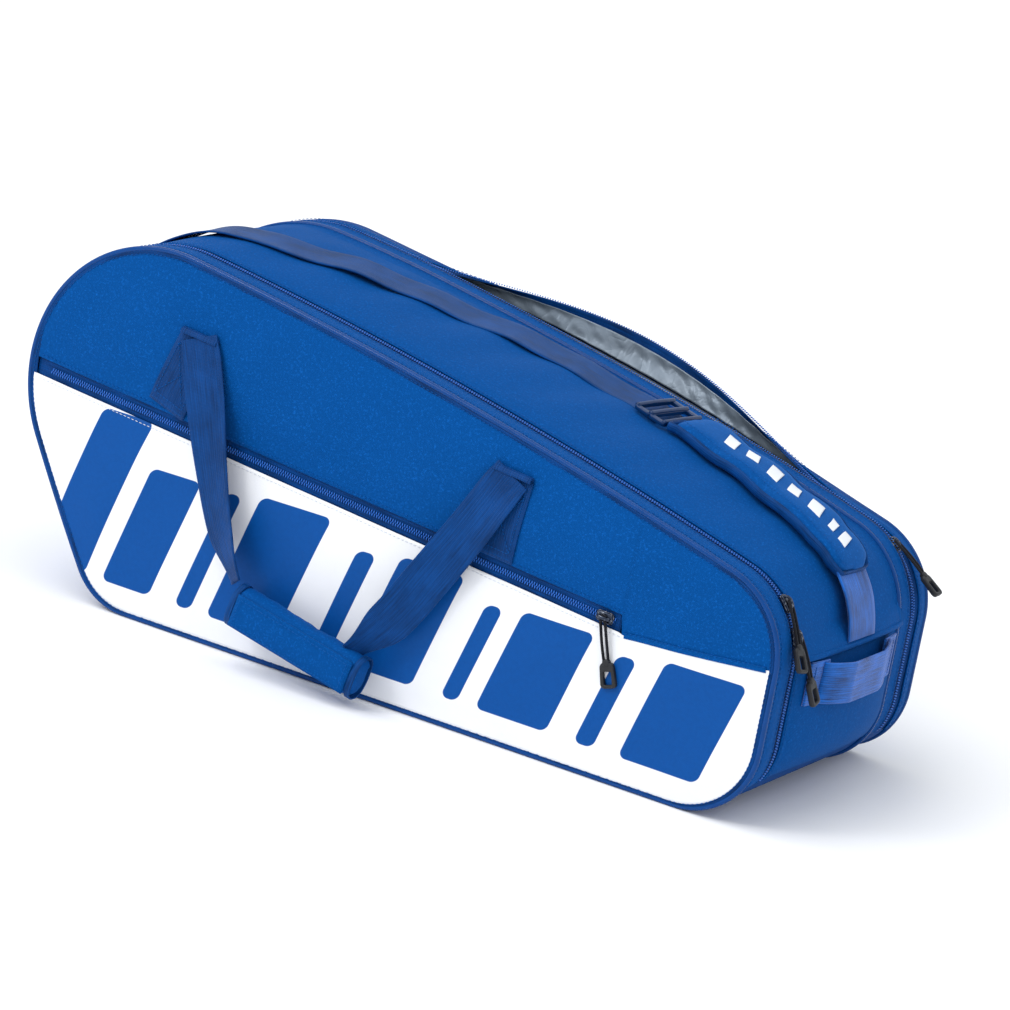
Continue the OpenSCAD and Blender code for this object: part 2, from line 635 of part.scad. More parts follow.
// ---- grab handle at the narrow end ----
grab_z = strap_seam_z - 29;
grab_high = 36;
grab_mid_y = strip_mid_y - 4;
grab_span = seam_y - centre_y0 - 27;
grab_tab = 16;
grab_bow = 26;
grab_radius = (grab_bow * grab_bow + grab_span * grab_span / 4) / (2 * grab_bow);
end_x = bag_length / 2;
module grab_arc(outside) {
    translate([end_x + grab_bow - grab_radius, grab_mid_y]) circle(r = grab_radius - outside, $fn = 180);
}
module grab_handle() {
    color("slateblue") translate([0, 0, grab_z - grab_high / 2]) linear_extrude(grab_high) intersection() {
        difference() {
            grab_arc(0);
            grab_arc(webbing + 0.6);
        }
        translate([end_x + 12, grab_mid_y - grab_span / 2]) square([grab_bow, grab_span]);
    }
}
module grab_handle_tabs() {
    color("slateblue") for (s = [-1, 1])
        translate([end_x, grab_mid_y + s * grab_span / 2 - grab_tab / 2, grab_z - grab_high / 2])
            cube([webbing, grab_tab, grab_high]);
}

base_gusset();
base_board();
top_gusset();
left_end_gusset();
right_end_gusset();
divider_panel();
divider_lining();
seam_piping();
main_zip_inner_tape();
main_zip_inner_teeth();
rear_strip();
rear_zip_inner_tape();
rear_zip_inner_teeth();
strap_anchor();
grab_handle_tabs();
front_pocket_panel();
front_upper_panel();
front_inner_panel();
front_foam();
front_piping();
front_strip();
main_zip_outer_tape();
main_zip_outer_teeth();
pocket_zip_tape();
pocket_zip_teeth();
front_handle_patches();
rear_panel();
rear_lining();
rear_piping();
rear_lip();
rear_zip_outer_tape();
rear_zip_outer_teeth();
rear_handle_patches();
upper_slider();
upper_pull_cord();
upper_pull_tab();
lower_slider();
lower_pull_cord();
lower_pull_tab();
rear_slider();
rear_pull_cord();
rear_pull_tab();
pocket_slider();
pocket_pull_cord();
pocket_pull_tab();
front_handle_webbing();
grip_wrap();
grip_wrap_flap();
rear_handle_webbing();
strap_webbing();
strap_tail();
strap_pad_cover();
strap_end_webbing();
ladder_lock();
grab_handle();
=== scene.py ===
import json
import math

import bpy
import numpy as np
from bpy.props import FloatProperty, FloatVectorProperty, PointerProperty
from mathutils import Matrix, Vector


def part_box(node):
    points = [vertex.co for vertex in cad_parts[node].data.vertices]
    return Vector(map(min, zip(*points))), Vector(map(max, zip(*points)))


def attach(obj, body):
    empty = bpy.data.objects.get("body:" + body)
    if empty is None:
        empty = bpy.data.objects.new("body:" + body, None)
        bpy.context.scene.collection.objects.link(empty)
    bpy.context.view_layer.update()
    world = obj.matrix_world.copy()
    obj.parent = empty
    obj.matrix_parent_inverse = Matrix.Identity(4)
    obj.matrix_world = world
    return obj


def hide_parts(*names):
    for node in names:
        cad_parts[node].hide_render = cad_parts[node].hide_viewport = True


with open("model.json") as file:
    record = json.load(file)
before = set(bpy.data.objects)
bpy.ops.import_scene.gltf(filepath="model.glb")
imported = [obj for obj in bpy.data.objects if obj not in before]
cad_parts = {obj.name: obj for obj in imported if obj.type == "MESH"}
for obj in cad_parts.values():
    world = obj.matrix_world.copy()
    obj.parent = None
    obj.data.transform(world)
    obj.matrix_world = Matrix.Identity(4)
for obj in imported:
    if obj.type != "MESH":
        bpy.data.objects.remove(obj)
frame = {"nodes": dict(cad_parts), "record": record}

bl_info = {
    "name": "Racket bag soft parts",
    "version": (1, 0, 0),
    "blender": (4, 5, 0),
    "location": "View3D > Sidebar > Racket bag",
    "description": "Makes the cloth, zips, webbing and fittings of a racket bag over its frame",
    "category": "Add Mesh",
}

CAMERA_PLACE = (1.7396, -3.4209, 1.1271)
CAMERA_AXES = ((0.8585, 0.4798, 0.1810), (-0.2748, 0.1324, 0.9524), (-0.4330, 0.8673, -0.2455))
# Lamps: name, place, the point each faces, its size and its power.
LAMPS = (("key", (-1.3, -2.4, 2.2), (0, 0, 0.1), 0.9, 20), ("fill", (2.2, -0.6, 2.4), (0.3, 0, 0.15), 0.6, 2.5))
SUN_PLACE, SUN_POWER, SUN_SPREAD = (-0.40, -0.40, 0.85), 1.15, math.radians(50)
LENS, SENSOR = 162.3, 36.0
SKY_LIGHT = 0.88
FLOOR_HALF, FLOOR_Z = 9, -0.0006
TURN = 2 * math.pi


def low(node):
    """Lowest corner of a frame node."""
    return np.array(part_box(node)[0])


def high(node):
    """Highest corner of a frame node."""
    return np.array(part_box(node)[1])


# Places taken from the frame, in metres.
HALF_LENGTH = high("right_end_gusset")[0]
BAG_HEIGHT = high("top_gusset")[2]
FRONT_Y = low("front_pocket_panel")[1]
REAR_Y = -FRONT_Y
SEAM_Y = (low("seam_piping")[1] + high("seam_piping")[1]) / 2
TAPE = 0.010
GAP = 0.0003
MAIN_ZIP_Y = low("main_zip_inner_tape")[1] - GAP
REAR_ZIP_Y = high("rear_zip_inner_tape")[1] + GAP
BASE_RISE = high("base_gusset")[2]
SEAM_Z = high("right_end_gusset")[2]
POCKET_END_X = high("pocket_zip_tape")[0]
# Directions: along the pocket zip, square to it, and straight off the front panel.
ZIP_WAY = np.array([0.9952, 0, -0.0975])
ZIP_UP = np.array([0.0975, 0, 0.9952])
FRONTWARD = np.array([0, -1.0, 0])
JOINTS = {j["name"]: j for j in frame["record"]["behaviour"]["joints"]}


def joint_place(name):
    """Point on a joint's axis."""
    return np.array(JOINTS[name]["pos_m"])


# ---- sizes and colours that a user would change ----
def metres(name, description, default, smallest=0.0, largest=5.0):
    """A length in metres."""
    return FloatProperty(name=name, description=description, default=default, min=smallest,
                         max=largest, unit="LENGTH", precision=4)


def colour(name, description, default):
    """A colour, linear."""
    return FloatVectorProperty(name=name, description=description, default=default, size=3,
                               min=0.0, max=1.0, subtype="COLOR")


class BagShape(bpy.types.PropertyGroup):
    """Side outline of the bag and how far its cloth swells."""
    nose_radius: metres("Round end", "Radius of the round end", 0.127)
    heel_radius: metres("Heel", "Radius of the lower corner under the round end", 0.062)
    heel_setback: metres("Heel setback", "Distance of the heel's centre from the round end", 0.136)
    shoulder_radius: metres("Shoulder", "Radius of the upper corner at the narrow end", 0.074)
    toe_radius: metres("Toe", "Radius of the lower corner at the narrow end", 0.068)
    tail_height: metres("Narrow end", "Height of the bag at its narrow end", 0.209)
    top_crown: metres("Top crown", "Radius of the crowned top", 4.2)
    side_crown: metres("Side crown", "Radius of the side under the round end", 2.5)
    top_puff: metres("Top swell", "How far the top cloth swells", 0.012)
    end_puff: metres("End swell", "How far the end cloth swells", 0.013)
    front_puff: metres("Front swell", "How far the front panel swells", 0.006)
    rear_puff: metres("Rear swell", "How far the rear panel swells", 0.010)


class BagFittings(bpy.types.PropertyGroup):
    """Sizes of zips, webbing and trim."""
    cloth: metres("Cloth", "Thickness of the outer cloth", 0.0012)
    piping: metres("Piping", "Radius of the piping", 0.0024)
    tooth_pitch: metres("Tooth pitch", "Distance between zip teeth", 0.0024)
    tooth_reach: metres("Tooth reach", "Length of a zip tooth", 0.0030)
    stitch_pitch: metres("Stitch pitch", "Distance between stitches", 0.0042)
    webbing: metres("Webbing", "Thickness of webbing", 0.0016)
    handle_width: metres("Handle webbing", "Width of the carry handles", 0.039)
    strap_width: metres("Strap webbing", "Width of the shoulder strap", 0.050)
    pad_width: metres("Pad", "Width of the padded strap section", 0.064)
    pad_thick: metres("Pad thickness", "Thickness of the padded strap section", 0.015)


class BagColours(bpy.types.PropertyGroup):
    """Colours of the materials."""
    cloth: colour("Cloth", "Blue outer cloth", (0.0, 0.064, 0.262))
    base: colour("Base", "Cloth of the base", (0.0, 0.040, 0.190))
    pocket: colour("Pocket", "Coated cloth of the pocket", (0.86, 0.87, 0.90))
    print_blue: colour("Print", "Printed shapes on the pocket", (0.0, 0.070, 0.300))
    webbing: colour("Handle webbing", "Carry handle webbing", (0.002, 0.044, 0.185))
    strap: colour("Strap webbing", "Shoulder strap webbing", (0.002, 0.050, 0.205))
    lining: colour("Lining", "Coated lining", (0.19, 0.235, 0.29))
    trim: colour("Trim", "Piping and zip tape", (0.0, 0.048, 0.215))
    dark: colour("Dark", "Zip pulls and cords", (0.010, 0.011, 0.014))


# ---- numpy helpers ----
def smooth(x, edge0, edge1):
    """Smooth step from 0 at edge0 to 1 at edge1."""
    u = np.clip((x - edge0) / (edge1 - edge0), 0.0, 1.0)
    return u * u * (3 - 2 * u)


def unit(v):
    """Vectors at length 1."""
    v = np.asarray(v, dtype=float)
    return v / np.maximum(np.linalg.norm(v, axis=-1, keepdims=True), 1e-12)


def through(points, count):
    """Smooth curve through the points, a Catmull-Rom spline with even steps in each span."""
    p = np.asarray(points, dtype=float)
    p = np.vstack([2 * p[0] - p[1], p, 2 * p[-1] - p[-2]])
    spans = len(p) - 3
    s = np.linspace(0, spans, count)
    k = np.minimum(s.astype(int), spans - 1)
    u = (s - k)[:, None]
    a, b, c, d = p[k], p[k + 1], p[k + 2], p[k + 3]
    return 0.5 * (2 * b + (c - a) * u + (2 * a - 5 * b + 4 * c - d) * u ** 2 + (3 * b - a - 3 * c + d) * u ** 3)


def run_length(points):
    """Distance along a polyline at each of its points."""
    steps = np.linalg.norm(np.diff(points, axis=0), axis=1)
    return np.concatenate([[0], np.cumsum(steps)])


def read_off(at, s, rows):
    """Rows of three numbers, given at the distances s, read off at other distances by straight lines."""
    return np.stack([np.interp(at, s, rows[:, k]) for k in range(3)], axis=-1)


def spaced(points, pitch, shift=0.0):
    """Distances a pitch apart along a polyline from half a pitch on, with the points and directions there."""
    s = run_length(points)
    at = np.arange(pitch * (0.5 + shift), s[-1], pitch)
    ahead = read_off(np.minimum(at + pitch / 4, s[-1]), s, points)
    return at, read_off(at, s, points), unit(ahead - read_off(at - pitch / 4, s, points))


# ---- meshes ----
def placed(name, mesh):
    """An object at the origin for a mesh, with smooth faces."""
    mesh.shade_smooth()
    mesh.update()
    made = bpy.data.objects.new(name, mesh)
    bpy.context.scene.collection.objects.link(made)
    return made


def new_object(name, points, faces, uv=None):
    """An object from arrays of points and faces; uv gives each point its place on the cloth."""
    mesh = bpy.data.meshes.new(name)
    mesh.from_pydata(np.asarray(points).tolist(), [], faces if isinstance(faces, list) else faces.tolist())
    if uv is not None:
        layer = mesh.uv_layers.new(name="cloth")
        corner = np.empty(len(mesh.loops), dtype=np.int32)
        mesh.loops.foreach_get("vertex_index", corner)
        layer.data.foreach_set("uv", np.asarray(uv, dtype=np.float32)[corner].ravel())
    return placed(name, mesh)


def grid_faces(rows, columns, round_rows=False, round_columns=False, flip=False):
    """Quads between neighbouring points of a grid, row by row."""
    i = np.arange(rows if round_rows else rows - 1)
    j = np.arange(columns if round_columns else columns - 1)
    i, j = [a.ravel() for a in np.meshgrid(i, j, indexing="ij")]
    i1, j1 = (i + 1) % rows, (j + 1) % columns
    quads = np.stack([i * columns + j, i1 * columns + j, i1 * columns + j1, i * columns + j1], axis=1)
    return quads[:, ::-1] if flip else quads


def surface(name, points, flip=False, round_rows=False, round_columns=False):
    """An object from a grid of points; its UV map holds distances in metres along both ways of the grid."""
    rows, columns = points.shape[:2]
    down = np.concatenate([np.zeros((1, columns)),
                           np.cumsum(np.linalg.norm(np.diff(points, axis=0), axis=2), axis=0)])
    over = np.concatenate([np.zeros((rows, 1)),
                           np.cumsum(np.linalg.norm(np.diff(points, axis=1), axis=2), axis=1)],
                          axis=1)
    uv = np.stack([np.broadcast_to(down.mean(axis=1, keepdims=True), over.shape), over], axis=2)
    faces = grid_faces(rows, columns, round_rows, round_columns, flip)
    return new_object(name, points.reshape(-1, 3), faces, uv.reshape(-1, 2))


def thicken(piece, thickness, offset=-1.0, bevel=0.0):
    """Gives a sheet its thickness, inwards from its face by default."""
    wall = piece.modifiers.new("thickness", "SOLIDIFY")
    wall.thickness = thickness
    wall.offset = offset
    if bevel:
        round_off(piece, bevel)
    return piece


def round_off(piece, width, segments=2):
    """Rounds the sharp edges of a piece."""
    edge = piece.modifiers.new("rounding", "BEVEL")
    edge.width = width
    edge.segments = segments
    edge.limit_method = "ANGLE"
    edge.angle_limit = math.radians(40)
    edge.harden_normals = False
    return piece


def swept(name, path, across, profile, loop=False):
    """A closed profile of (across, out) offsets carried along a path; out is tangent x across.

    The profile may be one outline for the whole path or one for each of its points.
    """
    path = np.asarray(path, dtype=float)
    if loop:
        tangent = unit(np.roll(path, -1, axis=0) - np.roll(path, 1, axis=0))
    else:
        tangent = unit(np.gradient(path, axis=0))
    across = unit(np.asarray(across, dtype=float) * np.ones_like(path))
    across = unit(across - tangent * np.sum(across * tangent, axis=1, keepdims=True))
    out = np.cross(tangent, across)
    profile = np.asarray(profile, dtype=float)
    if profile.ndim == 2:
        profile = np.broadcast_to(profile, (len(path),) + profile.shape)
    points = (path[:, None] + across[:, None] * profile[..., :1] + out[:, None] * profile[..., 1:2])
    rows, columns = points.shape[:2]
    faces = grid_faces(rows, columns, loop, True, flip=True).tolist()
    if not loop:
        faces += [list(range(columns))[::-1], list(range((rows - 1) * columns, rows * columns))]
    along = np.repeat(run_length(path), columns)
    return new_object(name, points.reshape(-1, 3), faces, np.stack([along, profile[..., 0].ravel()], axis=1))


def round_profile(radius, sides=10):
    """Points of a circle."""
    a = np.arange(sides) * TURN / sides
    return np.stack([radius * np.cos(a), radius * np.sin(a)], axis=1)


def band_profile(width, thickness, edge=0.5, steps=8):
    """Closed outline of webbing: flat faces, round edges and a slightly thicker selvedge."""
    half, t = width / 2, thickness / 2
    x = np.linspace(-half + t, half - t, steps)
    turn = np.linspace(-90, 90, 5)[1:-1] * math.pi / 180
    swell = 1 + 0.25 * edge * smooth(np.abs(x), 0.78 * half, 0.9 * half)
    right = np.stack([half - t + t * np.cos(turn), t * np.sin(turn)], axis=1)
    upper = np.stack([x[::-1], t * swell[::-1]], axis=1)
    left = np.stack([-half + t - t * np.cos(turn), -t * np.sin(turn)], axis=1)
    lower = np.stack([x, -t * swell], axis=1)
    return np.vstack([lower, right, upper, left])


def copies(name, shape_points, shape_faces, places, xs, ys, zs):
    """One mesh of many copies of a small shape, each with its own place and axes."""
    shape_points = np.asarray(shape_points, dtype=float)
    axes = np.stack([xs, ys, zs], axis=1)
    points = places[:, None] + np.einsum("pk,nkc->npc", shape_points, axes)
    count, each = len(places), len(shape_points)
    faces = np.asarray(shape_faces)[None] + (np.arange(count) * each)[:, None, None]
    return new_object(name, points.reshape(-1, 3), faces.reshape(-1, faces.shape[-1]))


def grain_shape(length, width, height, rings=4, sides=6):
    """A grain: a closed round form along X, standing on z = 0, with flat ends."""
    u = np.linspace(-1, 1, rings)
    a = np.arange(sides) * TURN / sides
    swell = np.sqrt(np.maximum(1 - (0.9 * u) ** 2, 0.05))
    x = np.repeat(u * length / 2, sides)
    y = (swell[:, None] * np.cos(a) * width / 2).ravel()
    z = (swell[:, None] * np.sin(a) * height / 2).ravel() + height * 0.3
    points = np.stack([x, y, z], axis=1)
    faces = grid_faces(rings, sides, round_columns=True)
    ends = [[0, 1, 2, 3], [0, 3, 4, 5]] if sides == 6 else [[0, 1, 2, 3]]
    last = (rings - 1) * sides
    ends += [[last + k for k in face[::-1]] for face in ends]
    return points, np.vstack([faces[:, ::-1], np.array(ends)[:, ::-1]])


def stitches(name, path, out, pitch, length=0.0028, width=0.0008, height=0.0007):
    """A row of thread stitches along a path; out is the direction off the cloth."""
    path = np.asarray(path, dtype=float)
    at, place, along = spaced(path, pitch)
    up = unit(read_off(at, run_length(path), np.broadcast_to(np.asarray(out, dtype=float), path.shape)))
    side = unit(np.cross(up, along))
    up = np.cross(along, side)
    points, faces = grain_shape(length, width, height, 3, 6)
    return copies(name, points, faces, place, along, side, up)


def joined(name, pieces):
    """One object from several meshes whose modifiers are applied."""
    graph = bpy.context.evaluated_depsgraph_get()
    points, faces, uvs, shift = [], [], [], 0
    for piece in pieces:
        mesh = piece.evaluated_get(graph).to_mesh()
        co = np.empty(len(mesh.vertices) * 3)
        mesh.vertices.foreach_get("co", co)
        points.append(co.reshape(-1, 3))
        corners = np.empty(len(mesh.loops), dtype=np.int32)
        mesh.loops.foreach_get("vertex_index", corners)
        starts = np.empty(len(mesh.polygons), dtype=np.int32)
        mesh.polygons.foreach_get("loop_start", starts)
        faces += np.split(corners + shift, starts[1:])
        layer = np.zeros(len(mesh.loops) * 2)
        if mesh.uv_layers:
            mesh.uv_layers[0].data.foreach_get("uv", layer)
        uvs.append(layer)
        shift += len(mesh.vertices)
        piece.evaluated_get(graph).to_mesh_clear()
        bpy.data.objects.remove(piece)
    mesh = bpy.data.meshes.new(name)
    mesh.from_pydata(np.vstack(points).tolist(), [], [face.tolist() for face in faces])
    mesh.uv_layers.new(name="cloth").data.foreach_set("uv", np.concatenate(uvs))
    return placed(name, mesh)


def dress(piece, body, slot, material, *replaced):
    """Gives a piece its material by name and its body, and hides what it stands for; the slot argument is not
    used.
    """
    piece.data.materials.clear()
    piece.data.materials.append(MATERIALS[material])
    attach(piece, body)
    if replaced:
        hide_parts(*replaced)
    return piece


# ---- the bag's surfaces ----
class Bag:
    """Side outline of the bag, a chain of arcs and straight runs, and the cloth over it.

    A place on the outline is a step number t, counter-clockwise from the right end of the
    shoulder arc; the frame's own solids use the same steps.
    """

    def __init__(self, shape):
        self.shape = shape
        nose = np.array([-HALF_LENGTH + shape.nose_radius, BAG_HEIGHT - shape.nose_radius])
        heel = np.array([-HALF_LENGTH + shape.heel_setback, shape.heel_radius])
        shoulder = np.array([HALF_LENGTH - shape.shoulder_radius, shape.tail_height - shape.shoulder_radius])
        toe = np.array([HALF_LENGTH - shape.toe_radius, shape.toe_radius])
        top = self.crown(shoulder, shape.shoulder_radius, nose, shape.nose_radius, shape.top_crown)
        side = self.crown(nose, shape.nose_radius, heel, shape.heel_radius, shape.side_crown)
        right = self.heading(top, shoulder)
        left = self.heading(top, nose)
        upper = self.heading(side, nose) % TURN
        lower = self.heading(side, heel) % TURN
        down = 0.75 * TURN
        self.shoulder = shoulder
        self.arcs = [
            (shoulder, shape.shoulder_radius, 0, right, 10),
            (top, shape.top_crown, right, left, 28),
            (nose, shape.nose_radius, left, upper, 18),
            (side, shape.side_crown, upper, lower, 5),
            (heel, shape.heel_radius, lower, down, 7),
            ((heel[0], 0.0), (toe[0], 0.0), None, None, 14),
            (toe, shape.toe_radius, down, TURN, 10),
            ((HALF_LENGTH, toe[1]), (HALF_LENGTH, shoulder[1]), None, None, 3),
        ]
        self.steps = sum(a[4] for a in self.arcs)
        self.seam_t = 10 * math.asin((SEAM_Z - shoulder[1]) / shape.shoulder_radius) / right
        self.nose_t = 38 + 18 * (math.radians(130) - left) / (upper - left)
        self.toe_t = self.steps - 3 - 10 * math.asin((toe[1] - BASE_RISE) / toe[1]) / (TURN / 4)
        fall = math.acos((heel[1] - BASE_RISE) / heel[1])
        self.heel_t = 61 + 7 * (down - fall - lower) / (down - lower)

    @staticmethod
    def heading(a, b):
        """Angle of the way from a to b."""
        return math.atan2(b[1] - a[1], b[0] - a[0])

    @staticmethod
    def crown(a, ra, b, rb, r):
        """Centre of the large arc that touches circle a and then circle b from outside."""
        d = b - a
        length = np.linalg.norm(d)
        e = d / length
        da, db = r - ra, r - rb
        t = (da * da - db * db + length * length) / (2 * length)
        return a + t * e + math.sqrt(da * da - t * t) * np.array([-e[1], e[0]])

    def at(self, t, off=0.0):
        """X, Z and outward normal at step t, off metres outside the outline."""
        t = np.mod(np.asarray(t, dtype=float), self.steps)
        off = np.broadcast_to(off, t.shape)
        x, z, nx, nz = (np.zeros_like(t) for _ in range(4))
        start = 0
        for a, b, a0, a1, n in self.arcs:
            m = (t >= start) & (t < start + n)
            u = (t[m] - start) / n
            if a0 is None:
                way = unit(np.array(b) - np.array(a))
                nx[m], nz[m] = way[1], -way[0]
                x[m] = a[0] + (b[0] - a[0]) * u + off[m] * way[1]
                z[m] = a[1] + (b[1] - a[1]) * u - off[m] * way[0]
            else:
                angle = a0 + (a1 - a0) * u
                nx[m], nz[m] = np.cos(angle), np.sin(angle)
                x[m] = a[0] + (b + off[m]) * nx[m]
                z[m] = a[1] + (b + off[m]) * nz[m]
            start += n
        return x, z, nx, nz

    def puff(self, t, y):
        """How far the gusset cloth swells past the outline at step t and depth y."""
        t = np.asarray(t, dtype=float)
        y = np.asarray(y, dtype=float)
        far = np.where(t > self.steps, t - self.steps, t)
        v = np.clip((y - MAIN_ZIP_Y - TAPE) / (SEAM_Y - MAIN_ZIP_Y - TAPE), 0, 1)
        across = (4 * v * (1 - v)) ** 0.7 * (1 + 0.25 * (v - 0.5))
        behind = smooth(y, 0.02, SEAM_Y) * 0.55
        top = smooth(far, self.seam_t - 0.3, 13) * (1 - smooth(far, self.nose_t - 12, self.nose_t + 1))
        lift = self.shape.top_puff * top * np.maximum(across, behind)
        lift *= 1 + 0.10 * np.sin(far * 1.9 + 20 * y) * v * (1 - v) * 4
        right = np.clip((t - self.toe_t) / (self.steps + self.seam_t - self.toe_t), 0, 1)
        left = np.clip((far - self.nose_t) / (self.heel_t - self.nose_t), 0, 1)
        ends = np.where((right > 0) & (right < 1), np.sin(math.pi * right) ** 0.7, 0)
        ends = np.maximum(ends, np.where((left > 0) & (left < 1), np.sin(math.pi * left) ** 0.8, 0))
        lip = 1 - smooth(y, SEAM_Y - 0.001, SEAM_Y + 0.004)
        return lift + self.shape.end_puff * ends * (across * lip + 0.10 * behind)

    def place(self, t, y, height=0.0):
        """Points on the gusset cloth, height metres over it."""
        t, y = np.broadcast_arrays(np.asarray(t, dtype=float), np.asarray(y, dtype=float))
        x, z, _, _ = self.at(t, self.puff(t, y) + height)
        return np.stack([x, y, z], axis=-1)

    def out(self, t):
        """Outward directions at steps t."""
        _, _, nx, nz = self.at(t)
        return np.stack([nx, np.zeros_like(nx), nz], axis=-1)

    # the rear mouth
    def share(self, t):
        """Share of the mouth's opening at step t: 0 at its ends and 1 at its middle."""
        x, z, _, _ = self.at(t)
        start, end = -0.185, 0.298
        u = np.clip((x - start) / (end - start), 0, 1)
        return np.where(z > self.shape.tail_height / 2, np.sin(math.pi * u) ** 1.5, 0)

    def lip(self, t, v, height=0.0):
        """Points on the rear lip: v is 0 at the zip's middle and 1 at the rear piping."""
        t, v, height = np.broadcast_arrays(*(np.asarray(a, dtype=float) for a in (t, v, height)))
        s = self.share(t)
        y0, y1 = REAR_ZIP_Y + GAP, REAR_Y - 0.004
        run, climb = y1 - y0 - 0.034 * s, 0.026 * s
        slope = np.hypot(run, climb)
        swell = height + 0.0022 * np.sin(math.pi * v)
        x, z, _, _ = self.at(t, swell * run / slope)
        gap = 0.058 - 0.034 * v
        rise = 0.022 - 0.026 * v
        return np.stack([x, y0 + (y1 - y0) * v + gap * s + swell * climb / slope, z + rise * s], axis=-1)

    def rear_rim(self, t, off, y):
        """Points of the rear piping's ring."""
        x, z, _, _ = self.at(t, off)
        s = self.share(t)
        return np.stack([x, y + 0.024 * s, np.maximum(z - 0.004 * s, 0.0006)], axis=-1)


def pocket_zip(x):
    """Height of the pocket zip at x."""
    x0, x1 = low("pocket_zip_tape")[0], high("pocket_zip_tape")[0]
    top, bottom = high("pocket_zip_tape")[2] - 0.009, low("pocket_zip_tape")[2] + 0.009
    return top + (bottom - top) * (np.asarray(x) - x0) / (x1 - x0)


def lining_folds(t, s):
    """Creases of the slack lining: three waves that run across each other."""
    return 0.0016 * np.sin(1.7 * t + 4 * s) * np.sin(9 * s + 0.3 * t) + 0.0012 * np.sin(3.1 * t - 11 * s)


# ---- material node helpers ----
def add(tree, kind, *given, **settings):
    """Adds a node, sets its properties, and gives its inputs links or values in order."""
    made = tree.nodes.new(kind)
    for key, value in settings.items():
        setattr(made, key, value)
    for socket, value in zip(made.inputs, given):
        if isinstance(value, bpy.types.NodeSocket):
            tree.links.new(value, socket)
        elif value is not None:
            socket.default_value = value
    return made


def calc(tree, operation, *given):
    """One sum on numbers."""
    return add(tree, "ShaderNodeMath", *given, operation=operation).outputs[0]


def blend_colours(tree, share, a, b):
    """Colour a turning into colour b as share goes from 0 to 1."""
    made = tree.nodes.new("ShaderNodeMix")
    made.data_type = "RGBA"
    for index, value in ((0, share), (6, a), (7, b)):
        if isinstance(value, bpy.types.NodeSocket):
            tree.links.new(value, made.inputs[index])
        else:
            made.inputs[index].default_value = (*value, 1.0) if index else value
    return made.outputs[2]


def noise(tree, vector, scale, detail=2.0, rough=0.5):
    """Noise from 0 to 1."""
    made = add(tree, "ShaderNodeTexNoise", vector)
    made.inputs["Scale"].default_value = scale
    made.inputs["Detail"].default_value = detail
    made.inputs["Roughness"].default_value = rough
    return made.outputs["Fac"]


def make_group(name, inputs, outputs, build):
    """A shader node group with named sockets, built once."""
    if name in bpy.data.node_groups:
        return bpy.data.node_groups[name]
    tree = bpy.data.node_groups.new(name, "ShaderNodeTree")
    for label, kind, default in inputs:
        socket = tree.interface.new_socket(name=label, in_out="INPUT", socket_type=kind)
        if default is not None:
            socket.default_value = default
    for label, kind in outputs:
        tree.interface.new_socket(name=label, in_out="OUTPUT", socket_type=kind)
    start, end = tree.nodes.new("NodeGroupInput"), tree.nodes.new("NodeGroupOutput")
    for socket, made in zip(end.inputs, build(tree, *start.outputs[:len(inputs)])):
        tree.links.new(made, socket)
    return tree


def use_group(tree, group, **values):
    """Places a group; values go to the inputs of those names."""
    made = tree.nodes.new("ShaderNodeGroup")
    made.node_tree = group
    for label, value in values.items():
        socket = made.inputs[label.replace("_", " ")]
        if isinstance(value, bpy.types.NodeSocket):
            tree.links.new(value, socket)
        else:
            socket.default_value = value
    return made.outputs


def weave_group():
    """Plain weave: threads of the given pitch go over and under each other, with slubs."""
    def build(tree, place, pitch, slub):
        parts = add(tree, "ShaderNodeSeparateXYZ", place).outputs
        turns = calc(tree, "DIVIDE", math.pi, pitch)
        along = calc(tree, "SINE", calc(tree, "MULTIPLY", parts[0], turns))
        across = calc(tree, "SINE", calc(tree, "MULTIPLY", parts[1], turns))
        over = calc(tree, "MULTIPLY", along, across)
        grain = noise(tree, place, 900.0, 2.0)
        uneven = calc(tree, "MULTIPLY", calc(tree, "SUBTRACT", grain, 0.5), slub)
        height = calc(tree, "ADD", calc(tree, "MULTIPLY_ADD", over, 0.5, 0.5), uneven)
        tone = calc(tree, "ADD", calc(tree, "MULTIPLY", noise(tree, place, 260.0, 3.0, 0.7), 0.6),
                    calc(tree, "MULTIPLY", noise(tree, place, 9.0, 2.0), 0.4))
        return height, tone
    return make_group("plain weave", [("Place", "NodeSocketVector", None), ("Pitch", "NodeSocketFloat", 0.0009),
                                      ("Slub", "NodeSocketFloat", 0.8)],
                      [("Height", "NodeSocketFloat"), ("Tone", "NodeSocketFloat")], build)


def crease_group():
    """Soft creases and dents of slack cloth, as a height from 0 to 1."""
    def build(tree, place, scale):
        stretched = add(tree, "ShaderNodeVectorMath", place, (1.0, 1.0, 0.6), operation="MULTIPLY").outputs[0]
        made = add(tree, "ShaderNodeTexNoise", stretched)
        tree.links.new(scale, made.inputs["Scale"])
        made.inputs["Detail"].default_value = 3.0
        made.inputs["Distortion"].default_value = 0.6
        ridge = calc(tree, "ABSOLUTE", calc(tree, "SUBTRACT", made.outputs["Fac"], 0.5))
        return (calc(tree, "POWER", calc(tree, "MULTIPLY", ridge, 2.0), 0.7),)
    return make_group("cloth creases", [("Place", "NodeSocketVector", None), ("Scale", "NodeSocketFloat", 14.0)],
                      [("Height", "NodeSocketFloat")], build)


